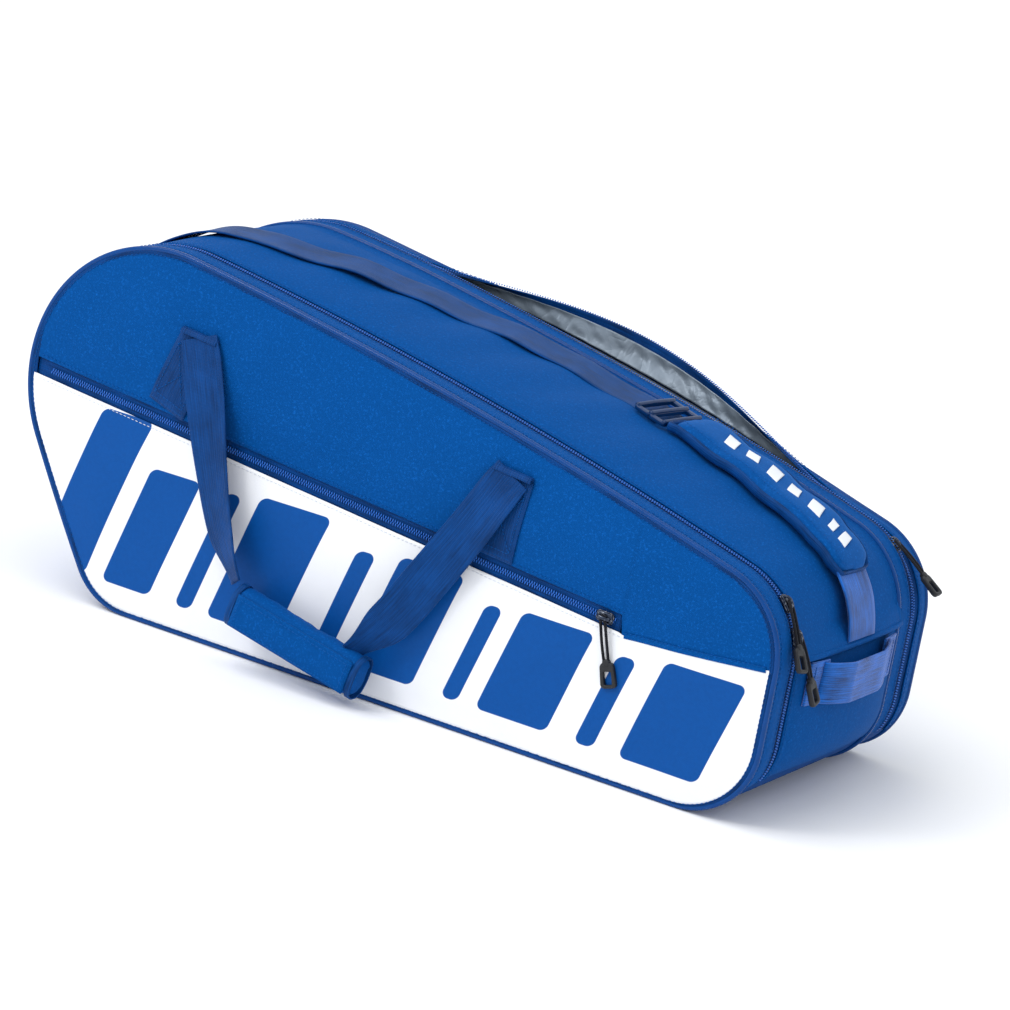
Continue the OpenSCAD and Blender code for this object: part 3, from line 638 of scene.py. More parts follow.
def rib_group():
    """Ribbed webbing: fine weft ribs along the run, a few warp cords across the width, and long streaks along the
    run that are used for painted sheen and for roughness.
    """
    def build(tree, place, pitch, cords):
        parts = add(tree, "ShaderNodeSeparateXYZ", place).outputs
        weft = calc(tree, "SINE", calc(tree, "MULTIPLY", parts[0], calc(tree, "DIVIDE", TURN, pitch)))
        warp = calc(tree, "SINE", calc(tree, "MULTIPLY", parts[1], calc(tree, "DIVIDE", TURN, cords)))
        # Long thin noise along the run: the streaks of painted sheen highlight.
        streak = add(tree, "ShaderNodeVectorMath", place, (30.0, 900.0, 1.0), operation="MULTIPLY").outputs[0]
        sheen_streaks = noise(tree, streak, 1.0, 2.0)
        height = calc(tree, "ADD", calc(tree, "MULTIPLY_ADD", weft, 0.3, 0.5), calc(tree, "MULTIPLY", warp, 0.2))
        return height, sheen_streaks
    return make_group("webbing ribs", [("Place", "NodeSocketVector", None), ("Pitch", "NodeSocketFloat", 0.0012),
                                       ("Cords", "NodeSocketFloat", 0.0025)],
                      [("Height", "NodeSocketFloat"), ("Sheen streaks", "NodeSocketFloat")], build)


def new_material(name, rough, specular, metallic=0.0, sheen=0.0, sheen_colour=(1, 1, 1), coat=0.0, coat_rough=0.2):
    """A material with its Principled shader; constant numbers stand on the shader's own sockets."""
    made = bpy.data.materials.new(name)
    made.use_nodes = True
    shader = made.node_tree.nodes["Principled BSDF"]
    shader.inputs["Roughness"].default_value = rough
    shader.inputs["Specular IOR Level"].default_value = specular
    shader.inputs["Metallic"].default_value = metallic
    shader.inputs["Sheen Weight"].default_value = sheen
    shader.inputs["Sheen Roughness"].default_value = 0.45
    shader.inputs["Sheen Tint"].default_value = (*sheen_colour, 1.0)
    shader.inputs["Coat Weight"].default_value = coat
    shader.inputs["Coat Roughness"].default_value = coat_rough
    return made, made.node_tree, shader


def paint(tree, shader, base=None, rough=None, height=None, depth=0.0005, strength=0.6):
    """Links a colour, a roughness and a height to the shader."""
    if base is not None:
        tree.links.new(base, shader.inputs["Base Color"])
    if rough is not None:
        tree.links.new(rough, shader.inputs["Roughness"])
    if height is not None:
        lift = add(tree, "ShaderNodeBump")
        lift.inputs["Strength"].default_value = strength
        lift.inputs["Distance"].default_value = depth
        tree.links.new(height, lift.inputs["Height"])
        tree.links.new(lift.outputs[0], shader.inputs["Normal"])


def shades(tone, dark, light):
    """A darker and a lighter shade of a colour."""
    return tuple(dark * c for c in tone), tuple(min(1.0, light * c) for c in tone)


def cloth_material(name, tone, pitch=0.0009, crease=0.25, sheen=0.07):
    """Woven polyester with slubs, soft creases and a faint sheen."""
    made, tree, shader = new_material(name, 0.72, 0.05, sheen=sheen, sheen_colour=(0.15, 0.42, 1.0))
    uv = add(tree, "ShaderNodeUVMap", uv_map="cloth").outputs[0]
    place = add(tree, "ShaderNodeTexCoord").outputs["Object"]
    weave = use_group(tree, weave_group(), Place=uv, Pitch=pitch)
    crease_height = use_group(tree, crease_group(), Place=place, Scale=11.0)[0]
    dark, light = shades(tone, 0.80, 1.22)
    base = blend_colours(tree, weave[1], dark, light)
    fleck = add(tree, "ShaderNodeMapRange", noise(tree, place, 520.0, 3.0, 0.75), 0.53, 0.70, 0.0, 0.8).outputs[0]
    base = blend_colours(tree, fleck, base, tuple(1.75 * c + 0.004 for c in tone))
    rough = calc(tree, "MULTIPLY_ADD", weave[0], 0.10, 0.66)
    height = calc(tree, "ADD", calc(tree, "MULTIPLY", weave[0], 0.28),
                  calc(tree, "MULTIPLY", crease_height, 8 * crease))
    paint(tree, shader, base, rough, height, 0.0007, 0.5)
    return made


def print_mask(tree, x, z):
    """Bold slanted bars with round corners under the pocket's zip: 1 on a bar and 0 off it."""
    slant, corner, soft = 0.30, 0.007, 0.0004
    bars = [(-0.318, 0.052, 0.150), (-0.248, 0.050, 0.112), (-0.188, 0.016, 0.112), (-0.128, 0.070, 0.118),
            (-0.048, 0.018, 0.100), (0.014, 0.062, 0.106), (0.082, 0.016, 0.090), (0.142, 0.068, 0.094),
            (0.212, 0.018, 0.084), (0.282, 0.074, 0.092)]
    base_z = 0.026
    leaning = calc(tree, "SUBTRACT", x, calc(tree, "MULTIPLY", z, slant))
    total = None
    for centre, width, tall in bars:
        dx = calc(tree, "SUBTRACT", calc(tree, "ABSOLUTE", calc(tree, "SUBTRACT", leaning, centre)),
                  width / 2 - corner)
        dz = calc(tree, "SUBTRACT", calc(tree, "ABSOLUTE", calc(tree, "SUBTRACT", z, base_z + tall / 2)),
                  tall / 2 - corner)
        px, pz = calc(tree, "MAXIMUM", dx, 0.0), calc(tree, "MAXIMUM", dz, 0.0)
        away = calc(tree, "SQRT", calc(tree, "ADD", calc(tree, "MULTIPLY", px, px),
                                       calc(tree, "MULTIPLY", pz, pz)))
        total = away if total is None else calc(tree, "MINIMUM", total, away)
    edge = calc(tree, "DIVIDE", calc(tree, "SUBTRACT", corner, total), soft)
    return add(tree, "ShaderNodeClamp", calc(tree, "ADD", edge, 0.5)).outputs[0]


def coated_material(name, tone, ink):
    """Smooth coated cloth with a fine grain under the coat and printed bars."""
    made, tree, shader = new_material(name, 0.42, 0.12, coat=0.03, coat_rough=0.30)
    place = add(tree, "ShaderNodeTexCoord").outputs["Object"]
    parts = add(tree, "ShaderNodeSeparateXYZ", place).outputs
    mask = print_mask(tree, parts[0], parts[2])
    soil = noise(tree, place, 16.0, 4.0, 0.6)
    dark, light = shades(tone, 0.94, 1.03)
    plain = blend_colours(tree, soil, light, dark)
    inked = blend_colours(tree, noise(tree, place, 320.0, 2.0), *shades(ink, 0.9, 1.12))
    base = blend_colours(tree, mask, plain, inked)
    rough = calc(tree, "ADD", calc(tree, "MULTIPLY_ADD", soil, 0.12, 0.30), calc(tree, "MULTIPLY", mask, 0.14))
    uv = add(tree, "ShaderNodeUVMap", uv_map="cloth").outputs[0]
    weave = use_group(tree, weave_group(), Place=uv, Pitch=0.0011)
    crease_height = use_group(tree, crease_group(), Place=place, Scale=9.0)[0]
    height = calc(tree, "ADD", calc(tree, "MULTIPLY", weave[0], 0.10),
                  calc(tree, "ADD", calc(tree, "MULTIPLY", crease_height, 1.4),
                       calc(tree, "MULTIPLY", mask, 0.12)))
    paint(tree, shader, base, rough, height, 0.0006, 0.5)
    return made


def webbing_material(name, tone, violet=(0.35, 0.33, 0.95), pitch=0.0012, cords=0.0025, sheen=0.6,
                     dark=0.6, light=1.5):
    """Satin webbing with weft ribs and a violet sheen; its base colour holds painted sheen streaks, from a painted
    shade (dark) to a painted highlight (light).
    """
    made, tree, shader = new_material(name, 0.42, 0.09, sheen=sheen, sheen_colour=violet)
    uv = add(tree, "ShaderNodeUVMap", uv_map="cloth").outputs[0]
    ribs = use_group(tree, rib_group(), Place=uv, Pitch=pitch, Cords=cords)
    sheen_patches = noise(tree, add(tree, "ShaderNodeTexCoord").outputs["Object"], 38.0, 3.0)
    share = calc(tree, "MULTIPLY_ADD", ribs[1], 0.55, calc(tree, "MULTIPLY", sheen_patches, 0.45))
    spread = add(tree, "ShaderNodeMapRange", share, 0.36, 0.64, 0.0, 1.0).outputs[0]
    # Painted sheen: streaks and patches move the base colour between a darker painted shade and a lighter painted
    # highlight.
    base = blend_colours(tree, spread, *shades(tone, dark, light))
    rough = calc(tree, "MULTIPLY_ADD", ribs[1], 0.25, 0.32)
    paint(tree, shader, base, rough, ribs[0], 0.0004, 0.7)
    return made


def plastic_material(name, tone, rough=0.35, specular=0.5, grain=500.0, depth=0.00008):
    """Moulded plastic with a fine spark-eroded grain and slightly uneven gloss."""
    made, tree, shader = new_material(name, rough, specular)
    place = add(tree, "ShaderNodeTexCoord").outputs["Object"]
    fine = noise(tree, place, grain, 2.0)
    base = blend_colours(tree, noise(tree, place, 30.0, 2.0), *shades(tone, 0.88, 1.15))
    uneven = calc(tree, "MULTIPLY_ADD", noise(tree, place, 60.0, 3.0), 0.16, rough - 0.08)
    paint(tree, shader, base, uneven, fine, depth, 0.6)
    return made


def piping_material(name, tone):
    """Glossy coated piping with faint ripples along its seam."""
    made, tree, shader = new_material(name, 0.22, 0.16, coat=0.06, coat_rough=0.10)
    place = add(tree, "ShaderNodeTexCoord").outputs["Object"]
    ripple = noise(tree, place, 90.0, 2.0)
    base = blend_colours(tree, ripple, *shades(tone, 0.85, 1.2))
    rough = calc(tree, "MULTIPLY_ADD", noise(tree, place, 45.0, 2.0), 0.15, 0.16)
    paint(tree, shader, base, rough, ripple, 0.0006, 0.5)
    return made


def lining_material(name, tone):
    """Thin coated lining with crisp crinkles and a metallic glint."""
    made, tree, shader = new_material(name, 0.42, 0.4, metallic=0.25)
    place = add(tree, "ShaderNodeTexCoord").outputs["Object"]
    crinkle = use_group(tree, crease_group(), Place=place, Scale=42.0)[0]
    big = use_group(tree, crease_group(), Place=place, Scale=15.0)[0]
    base = blend_colours(tree, noise(tree, place, 20.0, 3.0), *shades(tone, 0.72, 1.15))
    rough = calc(tree, "MULTIPLY_ADD", noise(tree, place, 70.0, 2.0), 0.2, 0.28)
    height = calc(tree, "ADD", calc(tree, "MULTIPLY", crinkle, 0.6), big)
    paint(tree, shader, base, rough, height, 0.0022, 0.6)
    return made


def thread_material(name, tone):
    """Twisted sewing thread."""
    made, tree, shader = new_material(name, 0.6, 0.1, sheen=0.04, sheen_colour=(0.3, 0.5, 1.0))
    place = add(tree, "ShaderNodeTexCoord").outputs["Object"]
    twist = noise(tree, place, 1600.0, 1.0)
    paint(tree, shader, blend_colours(tree, twist, *shades(tone, 0.8, 1.3)), None, twist, 0.0002, 0.5)
    return made


def metal_material(name, tone):
    """Dark enamelled metal, a little worn to bright zinc."""
    made, tree, shader = new_material(name, 0.28, 0.5, metallic=0.75)
    place = add(tree, "ShaderNodeTexCoord").outputs["Object"]
    worn = add(tree, "ShaderNodeMapRange", noise(tree, place, 420.0, 4.0, 0.6), 0.52, 0.72, 0.0, 0.8).outputs[0]
    base = blend_colours(tree, worn, tone, (0.32, 0.34, 0.38))
    rough = calc(tree, "MULTIPLY_ADD", worn, 0.2, 0.22)
    paint(tree, shader, base, rough, noise(tree, place, 800.0, 2.0), 0.00005, 0.4)
    return made


MATERIALS = {}


def make_materials(c):
    """All materials, by plain names."""
    MATERIALS.update(
        cloth=cloth_material("blue polyester", c.cloth),
        base=cloth_material("base polyester", c.base, 0.0012, 0.1, 0.1),
        inner=cloth_material("inner polyester", (0.01, 0.03, 0.12), 0.0009, 0.1, 0.1),
        pocket=coated_material("coated pocket cloth", c.pocket, c.print_blue),
        # Handle, strap, satin, tape and cord webbing paint sheen streaks: dark is the painted shade and light the
        # painted highlight; satin's light of 3.2 is a bright painted highlight.
        handle=webbing_material("handle webbing", c.webbing, (0.22, 0.42, 1.0), sheen=0.14, dark=0.62, light=1.30),
        strap=webbing_material("strap webbing", c.strap, (0.20, 0.45, 1.0), 0.0009, 0.0018, 0.04, 0.55, 1.35),
        satin=webbing_material("satin webbing", c.strap, (0.42, 0.52, 1.0), 0.0009, 0.0018, 0.75, 0.45, 3.2),
        lining=lining_material("silver lining", c.lining),
        piping=piping_material("glossy piping", c.trim),
        tape=webbing_material("zip tape", tuple(0.75 * v for v in c.trim), (0.2, 0.3, 0.9), 0.0016, 0.0010, 0.02),
        # The teeth are coloured lighter than the tape as a painted highlight on the coil's ribs.
        teeth=plastic_material("zip teeth", tuple(2.4 * v + 0.015 for v in c.trim), 0.28, 0.4),
        pale_thread=thread_material("pocket thread", (0.66, 0.69, 0.74)),
        thread=thread_material("sewing thread", tuple(1.12 * v for v in c.cloth)),
        metal=metal_material("slider enamel", (0.030, 0.040, 0.065)),
        cord=webbing_material("pull cord", c.dark, (0.3, 0.3, 0.4), 0.0011, 0.0008, 0.3),
        rubber=plastic_material("pull rubber", c.dark, 0.48, 0.4),
        lock=plastic_material("buckle acetal", tuple(0.42 * v for v in c.cloth), 0.30, 0.4),
        pad=cloth_material("pad polyester", tuple(1.05 * v for v in c.cloth), 0.0010, 0.15, 0.3),
        ink=plastic_material("printed bars", (0.80, 0.83, 0.88), 0.42, 0.35, 900.0, 0.00003),
        board=plastic_material("board", (0.05, 0.05, 0.05), 0.6),
        foam=plastic_material("foam", (0.6, 0.6, 0.6), 0.8, 0.1),
    )


# ---- shapes shared by several pieces ----
def steps_between(start, end, per_step=5):
    """Even outline steps from start to end."""
    return np.linspace(start, end, max(2, int(abs(end - start) * per_step) + 1))


def gusset_sheet(bag, name, t, y0, y1, columns, height):
    """Cloth over the gusset: rows along the outline, columns across the depth, height(t, v) over the swell."""
    v = np.linspace(0, 1, columns)[None, :]
    t = np.asarray(t)[:, None]
    return surface(name, bag.place(t, y0 + (y1 - y0) * v, height(t, v)), flip=True)


def seam_hems(v, hem, edge=0.06):
    """Height of the folded hems along both edges of a strip."""
    return hem * (1 - smooth(v, 0.0, edge) + smooth(v, 1 - edge, 1.0))


def ring_tube(name, points, radius, sides=10, loop=True):
    """Round piping through points that lie in a plane of X and Z."""
    return swept(name, points, (0.0, 1.0, 0.0), round_profile(radius, sides), loop)


def tooth_shape(reach, height):
    """A zip tooth: a grain that starts in its own tape and reaches past the zip's middle."""
    points, faces = grain_shape(reach, 0.0013, height, 4, 6)
    points[:, 0] += reach * 0.42
    return points, faces


def zip_side(bag, name, t, y, side, pitch, reach, shift, place=None):
    """Teeth along one zip edge; side is 1 where the tape lies towards +Y. shift moves the row along."""
    line = place(t) if place else bag.place(t, y, 0.0004)
    at, mid, along = spaced(line, pitch, shift)
    up = unit(read_off(at, run_length(line), bag.out(t)))
    across = np.cross(up, along)
    across = unit(across) * np.sign(across[:, 1:2]) * side
    points, faces = tooth_shape(reach, 0.0015)
    return copies(name, points, faces, mid, across, np.cross(up, across), up)


def polar_sheet(name, ring_of, rings, flip):
    """A dish: ring_of(s) gives the ring of points at share s of the way from its centre to its rim."""
    loops = np.stack([ring_of(s) for s in np.linspace(0, 1, rings + 1)[1:]])
    centre = ring_of(0.0).mean(axis=0)
    count = loops.shape[1]
    faces = grid_faces(rings, count, round_columns=True, flip=flip).tolist()
    pole = rings * count
    j = np.arange(count)
    fan = np.stack([np.full(count, pole), j, (j + 1) % count], axis=1)
    faces += (fan[:, ::-1] if flip else fan).tolist()
    points = np.vstack([loops.reshape(-1, 3), centre])
    return new_object(name, points, faces, points[:, [0, 2]])


def rounded_box_ring(length, width, corner, steps=6):
    """Outline of a rectangle with round corners, counter-clockwise, centred on 0."""
    parts = []
    for k, (sx, sy) in enumerate(((1, 1), (-1, 1), (-1, -1), (1, -1))):
        a = np.linspace(k, k + 1, steps) * math.pi / 2
        parts.append(np.stack([sx * (length / 2 - corner) + corner * np.cos(a),
                               sy * (width / 2 - corner) + corner * np.sin(a)], axis=1))
    return np.vstack(parts)


def framed_plate(name, outer, inner, thickness):
    """A flat plate from z = 0 with a window, from an outer and an inner outline of equal length."""
    n = len(outer)
    rings = [np.column_stack([outer, np.full(n, z)]) for z in (0, thickness)]
    rings += [np.column_stack([inner, np.full(n, z)]) for z in (thickness, 0)]
    points = np.stack(rings)
    return new_object(name, points.reshape(-1, 3), grid_faces(4, n, True, True, flip=True))


def solid_plate(name, outline, thickness):
    """A flat plate from z = 0 with no window."""
    n = len(outline)
    points = np.vstack([np.column_stack([outline, np.full(n, z)]) for z in (0, thickness)])
    faces = grid_faces(2, n, round_columns=True, flip=True).tolist()
    faces += [list(range(n))[::-1], list(range(n, 2 * n))]
    return new_object(name, points, faces)


def set_in(piece, origin, x_axis, y_axis, z_axis):
    """Carries a piece's mesh from its own axes into the frame."""
    turn = Matrix(np.column_stack([x_axis, y_axis, z_axis, origin]).tolist() + [[0, 0, 0, 1]])
    piece.data.transform(turn)
    piece.data.update()
    return piece


# ---- front panel surface ----
class FrontPanel:
    """The front panel's outline and its shallow swell, which stays flat along the pocket zip."""
    EDGE = 0.0045

    def __init__(self, bag):
        self.bag = bag
        t = np.arange(0, bag.steps, 0.25)
        x, z, _, _ = bag.at(t, -self.EDGE)
        self.rim = np.column_stack([x, z])
        turn = int(np.argmin(x))
        upper, lower = slice(0, turn + 1), slice(turn, len(t))
        self.top_x, self.top_z = x[upper][::-1], z[upper][::-1]
        self.low_x, self.low_z = np.maximum.accumulate(x[lower]), z[lower]
        self.right = x.max()

    def top(self, x):
        """Height of the panel's upper edge over x."""
        return np.interp(x, self.top_x, self.top_z)

    def bottom(self, x):
        """Height of the panel's lower edge over x."""
        stop = int(np.argmax(self.low_x >= self.right - 1e-6))
        return np.interp(x, self.low_x[:stop + 1], self.low_z[:stop + 1])

    def pocket_edge(self, x):
        """Upper edge of the white cloth: along the zip, then nearly level to the narrow end."""
        zip_edge = pocket_zip(x) - 0.009
        start = pocket_zip(POCKET_END_X) - 0.009
        level = start + (0.137 - start) * (x - POCKET_END_X) / (HALF_LENGTH - POCKET_END_X)
        return np.where(x < POCKET_END_X, zip_edge, level)

    def y(self, x, z, height=0.0):
        """Depth of the panel's face at x and z, height in front of it."""
        flat = np.column_stack([np.ravel(x), np.ravel(z)])
        away = np.full(len(flat), 9.0)
        for start in range(0, len(flat), 4000):
            d = flat[start:start + 4000, None] - self.rim[None]
            away[start:start + 4000] = np.sqrt((d ** 2).sum(axis=2).min(axis=1))
        away = away.reshape(np.shape(x))
        amount = self.bag.shape.front_puff * (1 - np.exp(-away / 0.035))
        open_end = smooth(x, POCKET_END_X + 0.01, POCKET_END_X + 0.06)
        valley = 1 - (1 - open_end) * np.exp(-((z - pocket_zip(x)) / 0.026) ** 2)
        ripple = 0.0007 * np.sin(31 * x + 11 * z) * np.sin(17 * z - 9 * x + 1)
        ripple += 0.0006 * np.sin(57 * x - 40 * z + 2) * smooth(away, 0, 0.05)
        return FRONT_Y - (amount * 0.62 + ripple * smooth(away, 0.0, 0.03)) * valley - height

    def sheet(self, name, x0, x1, low_of, high_of, rows, columns, height=0.0):
        """A stretch of the panel between two edges given as heights over x."""
        x = np.linspace(0, math.pi, rows)
        x = (x0 + x1) / 2 - (x1 - x0) / 2 * np.cos(x)
        z0, z1 = low_of(x), high_of(x)
        v = np.linspace(0, 1, columns)[None, :]
        z = z0[:, None] + (z1 - z0)[:, None] * v
        x = np.broadcast_to(x[:, None], z.shape)
        return surface(name, np.stack([x, self.y(x, z, height), z], axis=-1))


# ---- the pieces ----
class PieceOperator(bpy.types.Operator):
    """Base of the operators: gives them the bag's surfaces and sizes."""
    bl_idname = "racketbag.piece"
    bl_label = "Piece"
    bl_options = {"REGISTER", "UNDO"}

    def execute(self, context):
        scene = context.scene
        self.fit = scene.bag_fittings
        self.bag = Bag(scene.bag_shape)
        self.build()
        return {"FINISHED"}

    def build(self):
        """Each piece's operator makes its meshes here."""


class RACKETBAG_OT_materials(PieceOperator):
    """Makes the cloth, webbing, plastic and metal materials and gives the inner frame nodes theirs"""
    bl_idname = "racketbag.materials"
    bl_label = "Materials"

    def build(self):
        make_materials(bpy.context.scene.bag_colours)
        inside = {"base_board": "board", "divider_panel": "inner", "front_inner_panel": "inner",
                  "front_foam": "foam", "divider_lining": "lining"}
        for node, material in inside.items():
            frame["nodes"][node].data.materials[0] = MATERIALS[material]


class RACKETBAG_OT_gusset(PieceOperator):
    """Makes the cloth strips that run round the bag between the panels"""
    bl_idname = "racketbag.gusset"
    bl_label = "Gusset cloth"

    def build(self):
        bag, wall = self.bag, self.fit.cloth
        y0, y1 = MAIN_ZIP_Y + TAPE - 0.003, SEAM_Y
        flap_t = bag.seam_t - 0.70

        def top_height(t, v):
            far = np.where(t > bag.steps, t - bag.steps, t)
            flap = 0.0095 * (1 - smooth(far, bag.seam_t - 0.7, bag.seam_t + 1.6))
            return 0.0006 + seam_hems(v, 0.0009, 0.02) + flap * np.sin(math.pi * np.clip(v, 0.02, 0.98)) ** 0.3

        top = gusset_sheet(bag, "top_gusset_cloth", steps_between(flap_t, bag.nose_t), y0, y1, 64, top_height)
        dress(thicken(top, wall), "bag", "blue_cloth", "cloth", "top_gusset")

        def end_height(t, v):
            tucked = smooth(t, bag.steps + bag.seam_t - 1.9, bag.steps + bag.seam_t - 0.8)
            return 0.0004 + seam_hems(v, 0.0008, 0.02) - 0.0045 * tucked * np.sin(math.pi * v) ** 0.4

        right = gusset_sheet(bag, "right_end_cloth", steps_between(bag.toe_t, bag.steps + bag.seam_t + 0.05, 8),
                             y0, y1, 50, end_height)
        dress(thicken(right, wall), "bag", "blue_cloth", "cloth", "right_end_gusset")
        left = gusset_sheet(bag, "left_end_cloth", steps_between(bag.nose_t - 0.05, bag.heel_t, 8),
                            y0, y1, 50, end_height)
        dress(thicken(left, wall), "bag", "blue_cloth", "cloth", "left_end_gusset")

        around = steps_between(bag.toe_t, bag.steps + bag.heel_t)
        rear = gusset_sheet(bag, "rear_strip_cloth", around, SEAM_Y, REAR_ZIP_Y - TAPE + 0.003, 12,
                            lambda t, v: 0.0006 + seam_hems(v, 0.0008, 0.15))
        dress(thicken(rear, wall), "bag", "blue_cloth", "cloth", "rear_strip")
        front = gusset_sheet(bag, "front_strip_cloth", around, FRONT_Y + 0.003, MAIN_ZIP_Y - TAPE + 0.003, 12,
                             lambda t, v: 0.0006 + 0.0012 * np.sin(math.pi * v) + seam_hems(v, 0.0008, 0.15))
        dress(thicken(front, wall), "front_door", "blue_cloth", "cloth", "front_strip")
        base = gusset_sheet(bag, "base_cloth", steps_between(bag.heel_t - 0.3, bag.toe_t + 0.3, 6),
                            FRONT_Y + 0.004, REAR_Y - 0.004, 40, lambda t, v: 0.0 * t * v - 0.0002)
        dress(thicken(base, wall), "bag", "base_cloth", "base", "base_gusset")
        self.end_seams()

    def end_seams(self):
        """Rolled hems across the bag where the top cloth meets the two end cloths."""
        bag = self.bag
        y = np.linspace(MAIN_ZIP_Y + TAPE, SEAM_Y, 60)
        for name, t, rise in (("right_end_hem", bag.seam_t - 0.69, 0.0092), ("left_end_hem", bag.nose_t, 0.0012)):
            v = np.linspace(0, 1, len(y))
            line = bag.place(t, y, rise * np.sin(math.pi * np.clip(v, 0.02, 0.98)) ** 0.3 + 0.0002)
            hem = swept(name, line, bag.out(np.array(t)), round_profile(0.0021, 10) * np.array([1.0, 1.3]))
            dress(hem, "bag", "blue_cloth", "cloth")
        t = bag.seam_t - 0.25
        over = np.clip((y - y[0]) / (y[-1] - y[0]), 0.02, 0.98)
        row = bag.place(t, y, 0.0082 * np.sin(math.pi * over) ** 0.3 + 0.0005)
        dress(stitches("end_seam_stitches", row, bag.out(np.array(t)), self.fit.stitch_pitch), "bag",
              "blue_cloth", "thread")


class RACKETBAG_OT_piping(PieceOperator):
    """Makes the three rings of glossy piping, their binding and its stitches"""
    bl_idname = "racketbag.piping"
    bl_label = "Piping"

    def build(self):
        bag, r = self.bag, self.fit.piping
        t = np.arange(0, bag.steps, 0.2)
        grounded = smooth(t, 60, 69) * (1 - smooth(t, 81, 89))
        seam = bag.place(t, SEAM_Y, 0.0008 - (r + 0.0004) * grounded)
        dress(ring_tube("seam_piping_tube", seam, r), "bag", "piping", "piping", "seam_piping")
        x, z, _, _ = bag.at(t, 0.0002 - (r - 0.0002) * grounded)
        front = np.column_stack([x, np.full_like(x, FRONT_Y + 0.0008), z])
        dress(ring_tube("front_piping_tube", front, r), "front_door", "piping", "piping", "front_piping")
        rear = bag.rear_rim(t, 0.0002 - (r - 0.0002) * grounded, REAR_Y - 0.0008)
        rear[:, 2] = np.maximum(rear[:, 2], r)
        dress(ring_tube("rear_piping_tube", rear, r), "rear_door", "piping", "piping", "rear_piping")
        self.binding(t)

    def binding(self, t):
        """Cloth binding that covers the piping's seam on the front and rear panels."""
        bag = self.bag
        profile = band_profile(0.0062, 0.0014, 0.0, 6)
        x, z, nx, nz = bag.at(t, -0.0044)
        out = np.column_stack([nx, np.zeros_like(nx), nz])
        front = np.column_stack([x, np.full_like(x, FRONT_Y - 0.0006), z])
        piece = swept("front_binding", front, out, profile, loop=True)
        dress(piece, "front_door", "piping", "tape")
        rows = stitches("front_binding_stitches", np.vstack([front, front[:1]]) - np.array([0, 0.0007, 0]),
                        (0.0, -1.0, 0.0), self.fit.stitch_pitch)
        dress(rows, "front_door", "piping", "thread")
        rear = bag.rear_rim(t, -0.0044, REAR_Y + 0.0006)
        rear[:, 2] = np.maximum(rear[:, 2], 0.0036)
        piece = swept("rear_binding", rear, out, profile, loop=True)
        dress(piece, "rear_door", "piping", "tape")


class RACKETBAG_OT_zips(PieceOperator):
    """Makes the tapes and teeth of the main zip, the rear zip and the pocket zip"""
    bl_idname = "racketbag.zips"
    bl_label = "Zips"

    def build(self):
        bag, fit = self.bag, self.fit
        t = steps_between(bag.toe_t, bag.steps + bag.heel_t)
        pitch, reach = fit.tooth_pitch, fit.tooth_reach
        self.strip("main_zip_inner", "bag", t, MAIN_ZIP_Y, 1, 0.0)
        self.strip("main_zip_outer", "front_door", t, MAIN_ZIP_Y, -1, 0.5)
        self.strip("rear_zip_inner", "bag", t, REAR_ZIP_Y, -1, 0.0)
        v = np.linspace(0.0, 0.46, 6)[None, :]
        tape = surface("rear_zip_outer_tape_cloth", bag.lip(t[:, None], v, -0.0002), flip=True)
        dress(thicken(tape, 0.0010), "rear_door", "zip_tape", "tape", "rear_zip_outer_tape")
        row = zip_side(bag, "rear_zip_outer_coil", t, 0, 1, pitch, reach, 0.5, lambda u: bag.lip(u, 0.02, 0.0006))
        dress(row, "rear_door", "zip_teeth", "teeth", "rear_zip_outer_teeth")
        self.pocket(pitch, reach)

    def strip(self, name, body, t, y, side, shift):
        """One tape with its row of teeth; side is 1 where it lies towards +Y of the zip's middle."""
        bag = self.bag
        edges = sorted((y + side * 0.0006, y + side * TAPE))
        v = np.linspace(0, 1, 6)[None, :]
        tape = surface(name + "_tape_cloth", bag.place(t[:, None], edges[0] + (edges[1] - edges[0]) * v, -0.0002),
                       flip=True)
        dress(thicken(tape, 0.0010), body, "zip_tape", "tape", name + "_tape")
        row = zip_side(bag, name + "_coil", t, y, side, self.fit.tooth_pitch, self.fit.tooth_reach, shift)
        dress(row, body, "zip_teeth", "teeth", name + "_teeth")

    def pocket(self, pitch, reach):
        """The pocket zip lies flat on the front panel."""
        x0, x1 = low("pocket_zip_tape")[0] + 0.004, POCKET_END_X
        x = np.linspace(x0, x1, 160)[:, None]
        z = pocket_zip(x) + np.linspace(-0.010, 0.010, 8)[None, :]
        x = np.broadcast_to(x, z.shape)
        tape = surface("pocket_zip_tape_cloth", np.stack([x, np.full_like(z, FRONT_Y + 0.0004), z], axis=-1))
        dress(thicken(tape, 0.0008), "front_door", "zip_tape", "tape", "pocket_zip_tape")
        xs = np.linspace(low("pocket_zip_teeth")[0], POCKET_END_X - 0.006, 300)
        line = np.column_stack([xs, np.full_like(xs, FRONT_Y - 0.0003), pocket_zip(xs)])
        way = unit(line[-1] - line[0])
        out, rows = FRONTWARD, []
        for side, shift in ((1, 0.0), (-1, 0.5)):
            place = spaced(line + way * pitch * shift, pitch)[1]
            up = np.cross(way, out) * side
            points, faces = tooth_shape(reach, 0.0014)
            n = len(place)
            rows.append(copies("pocket_coil", points, faces, place, np.tile(up, (n, 1)),
                               np.tile(np.cross(out, up), (n, 1)), np.tile(out, (n, 1))))
        dress(joined("pocket_zip_coil", rows), "front_door", "zip_teeth", "teeth", "pocket_zip_teeth")


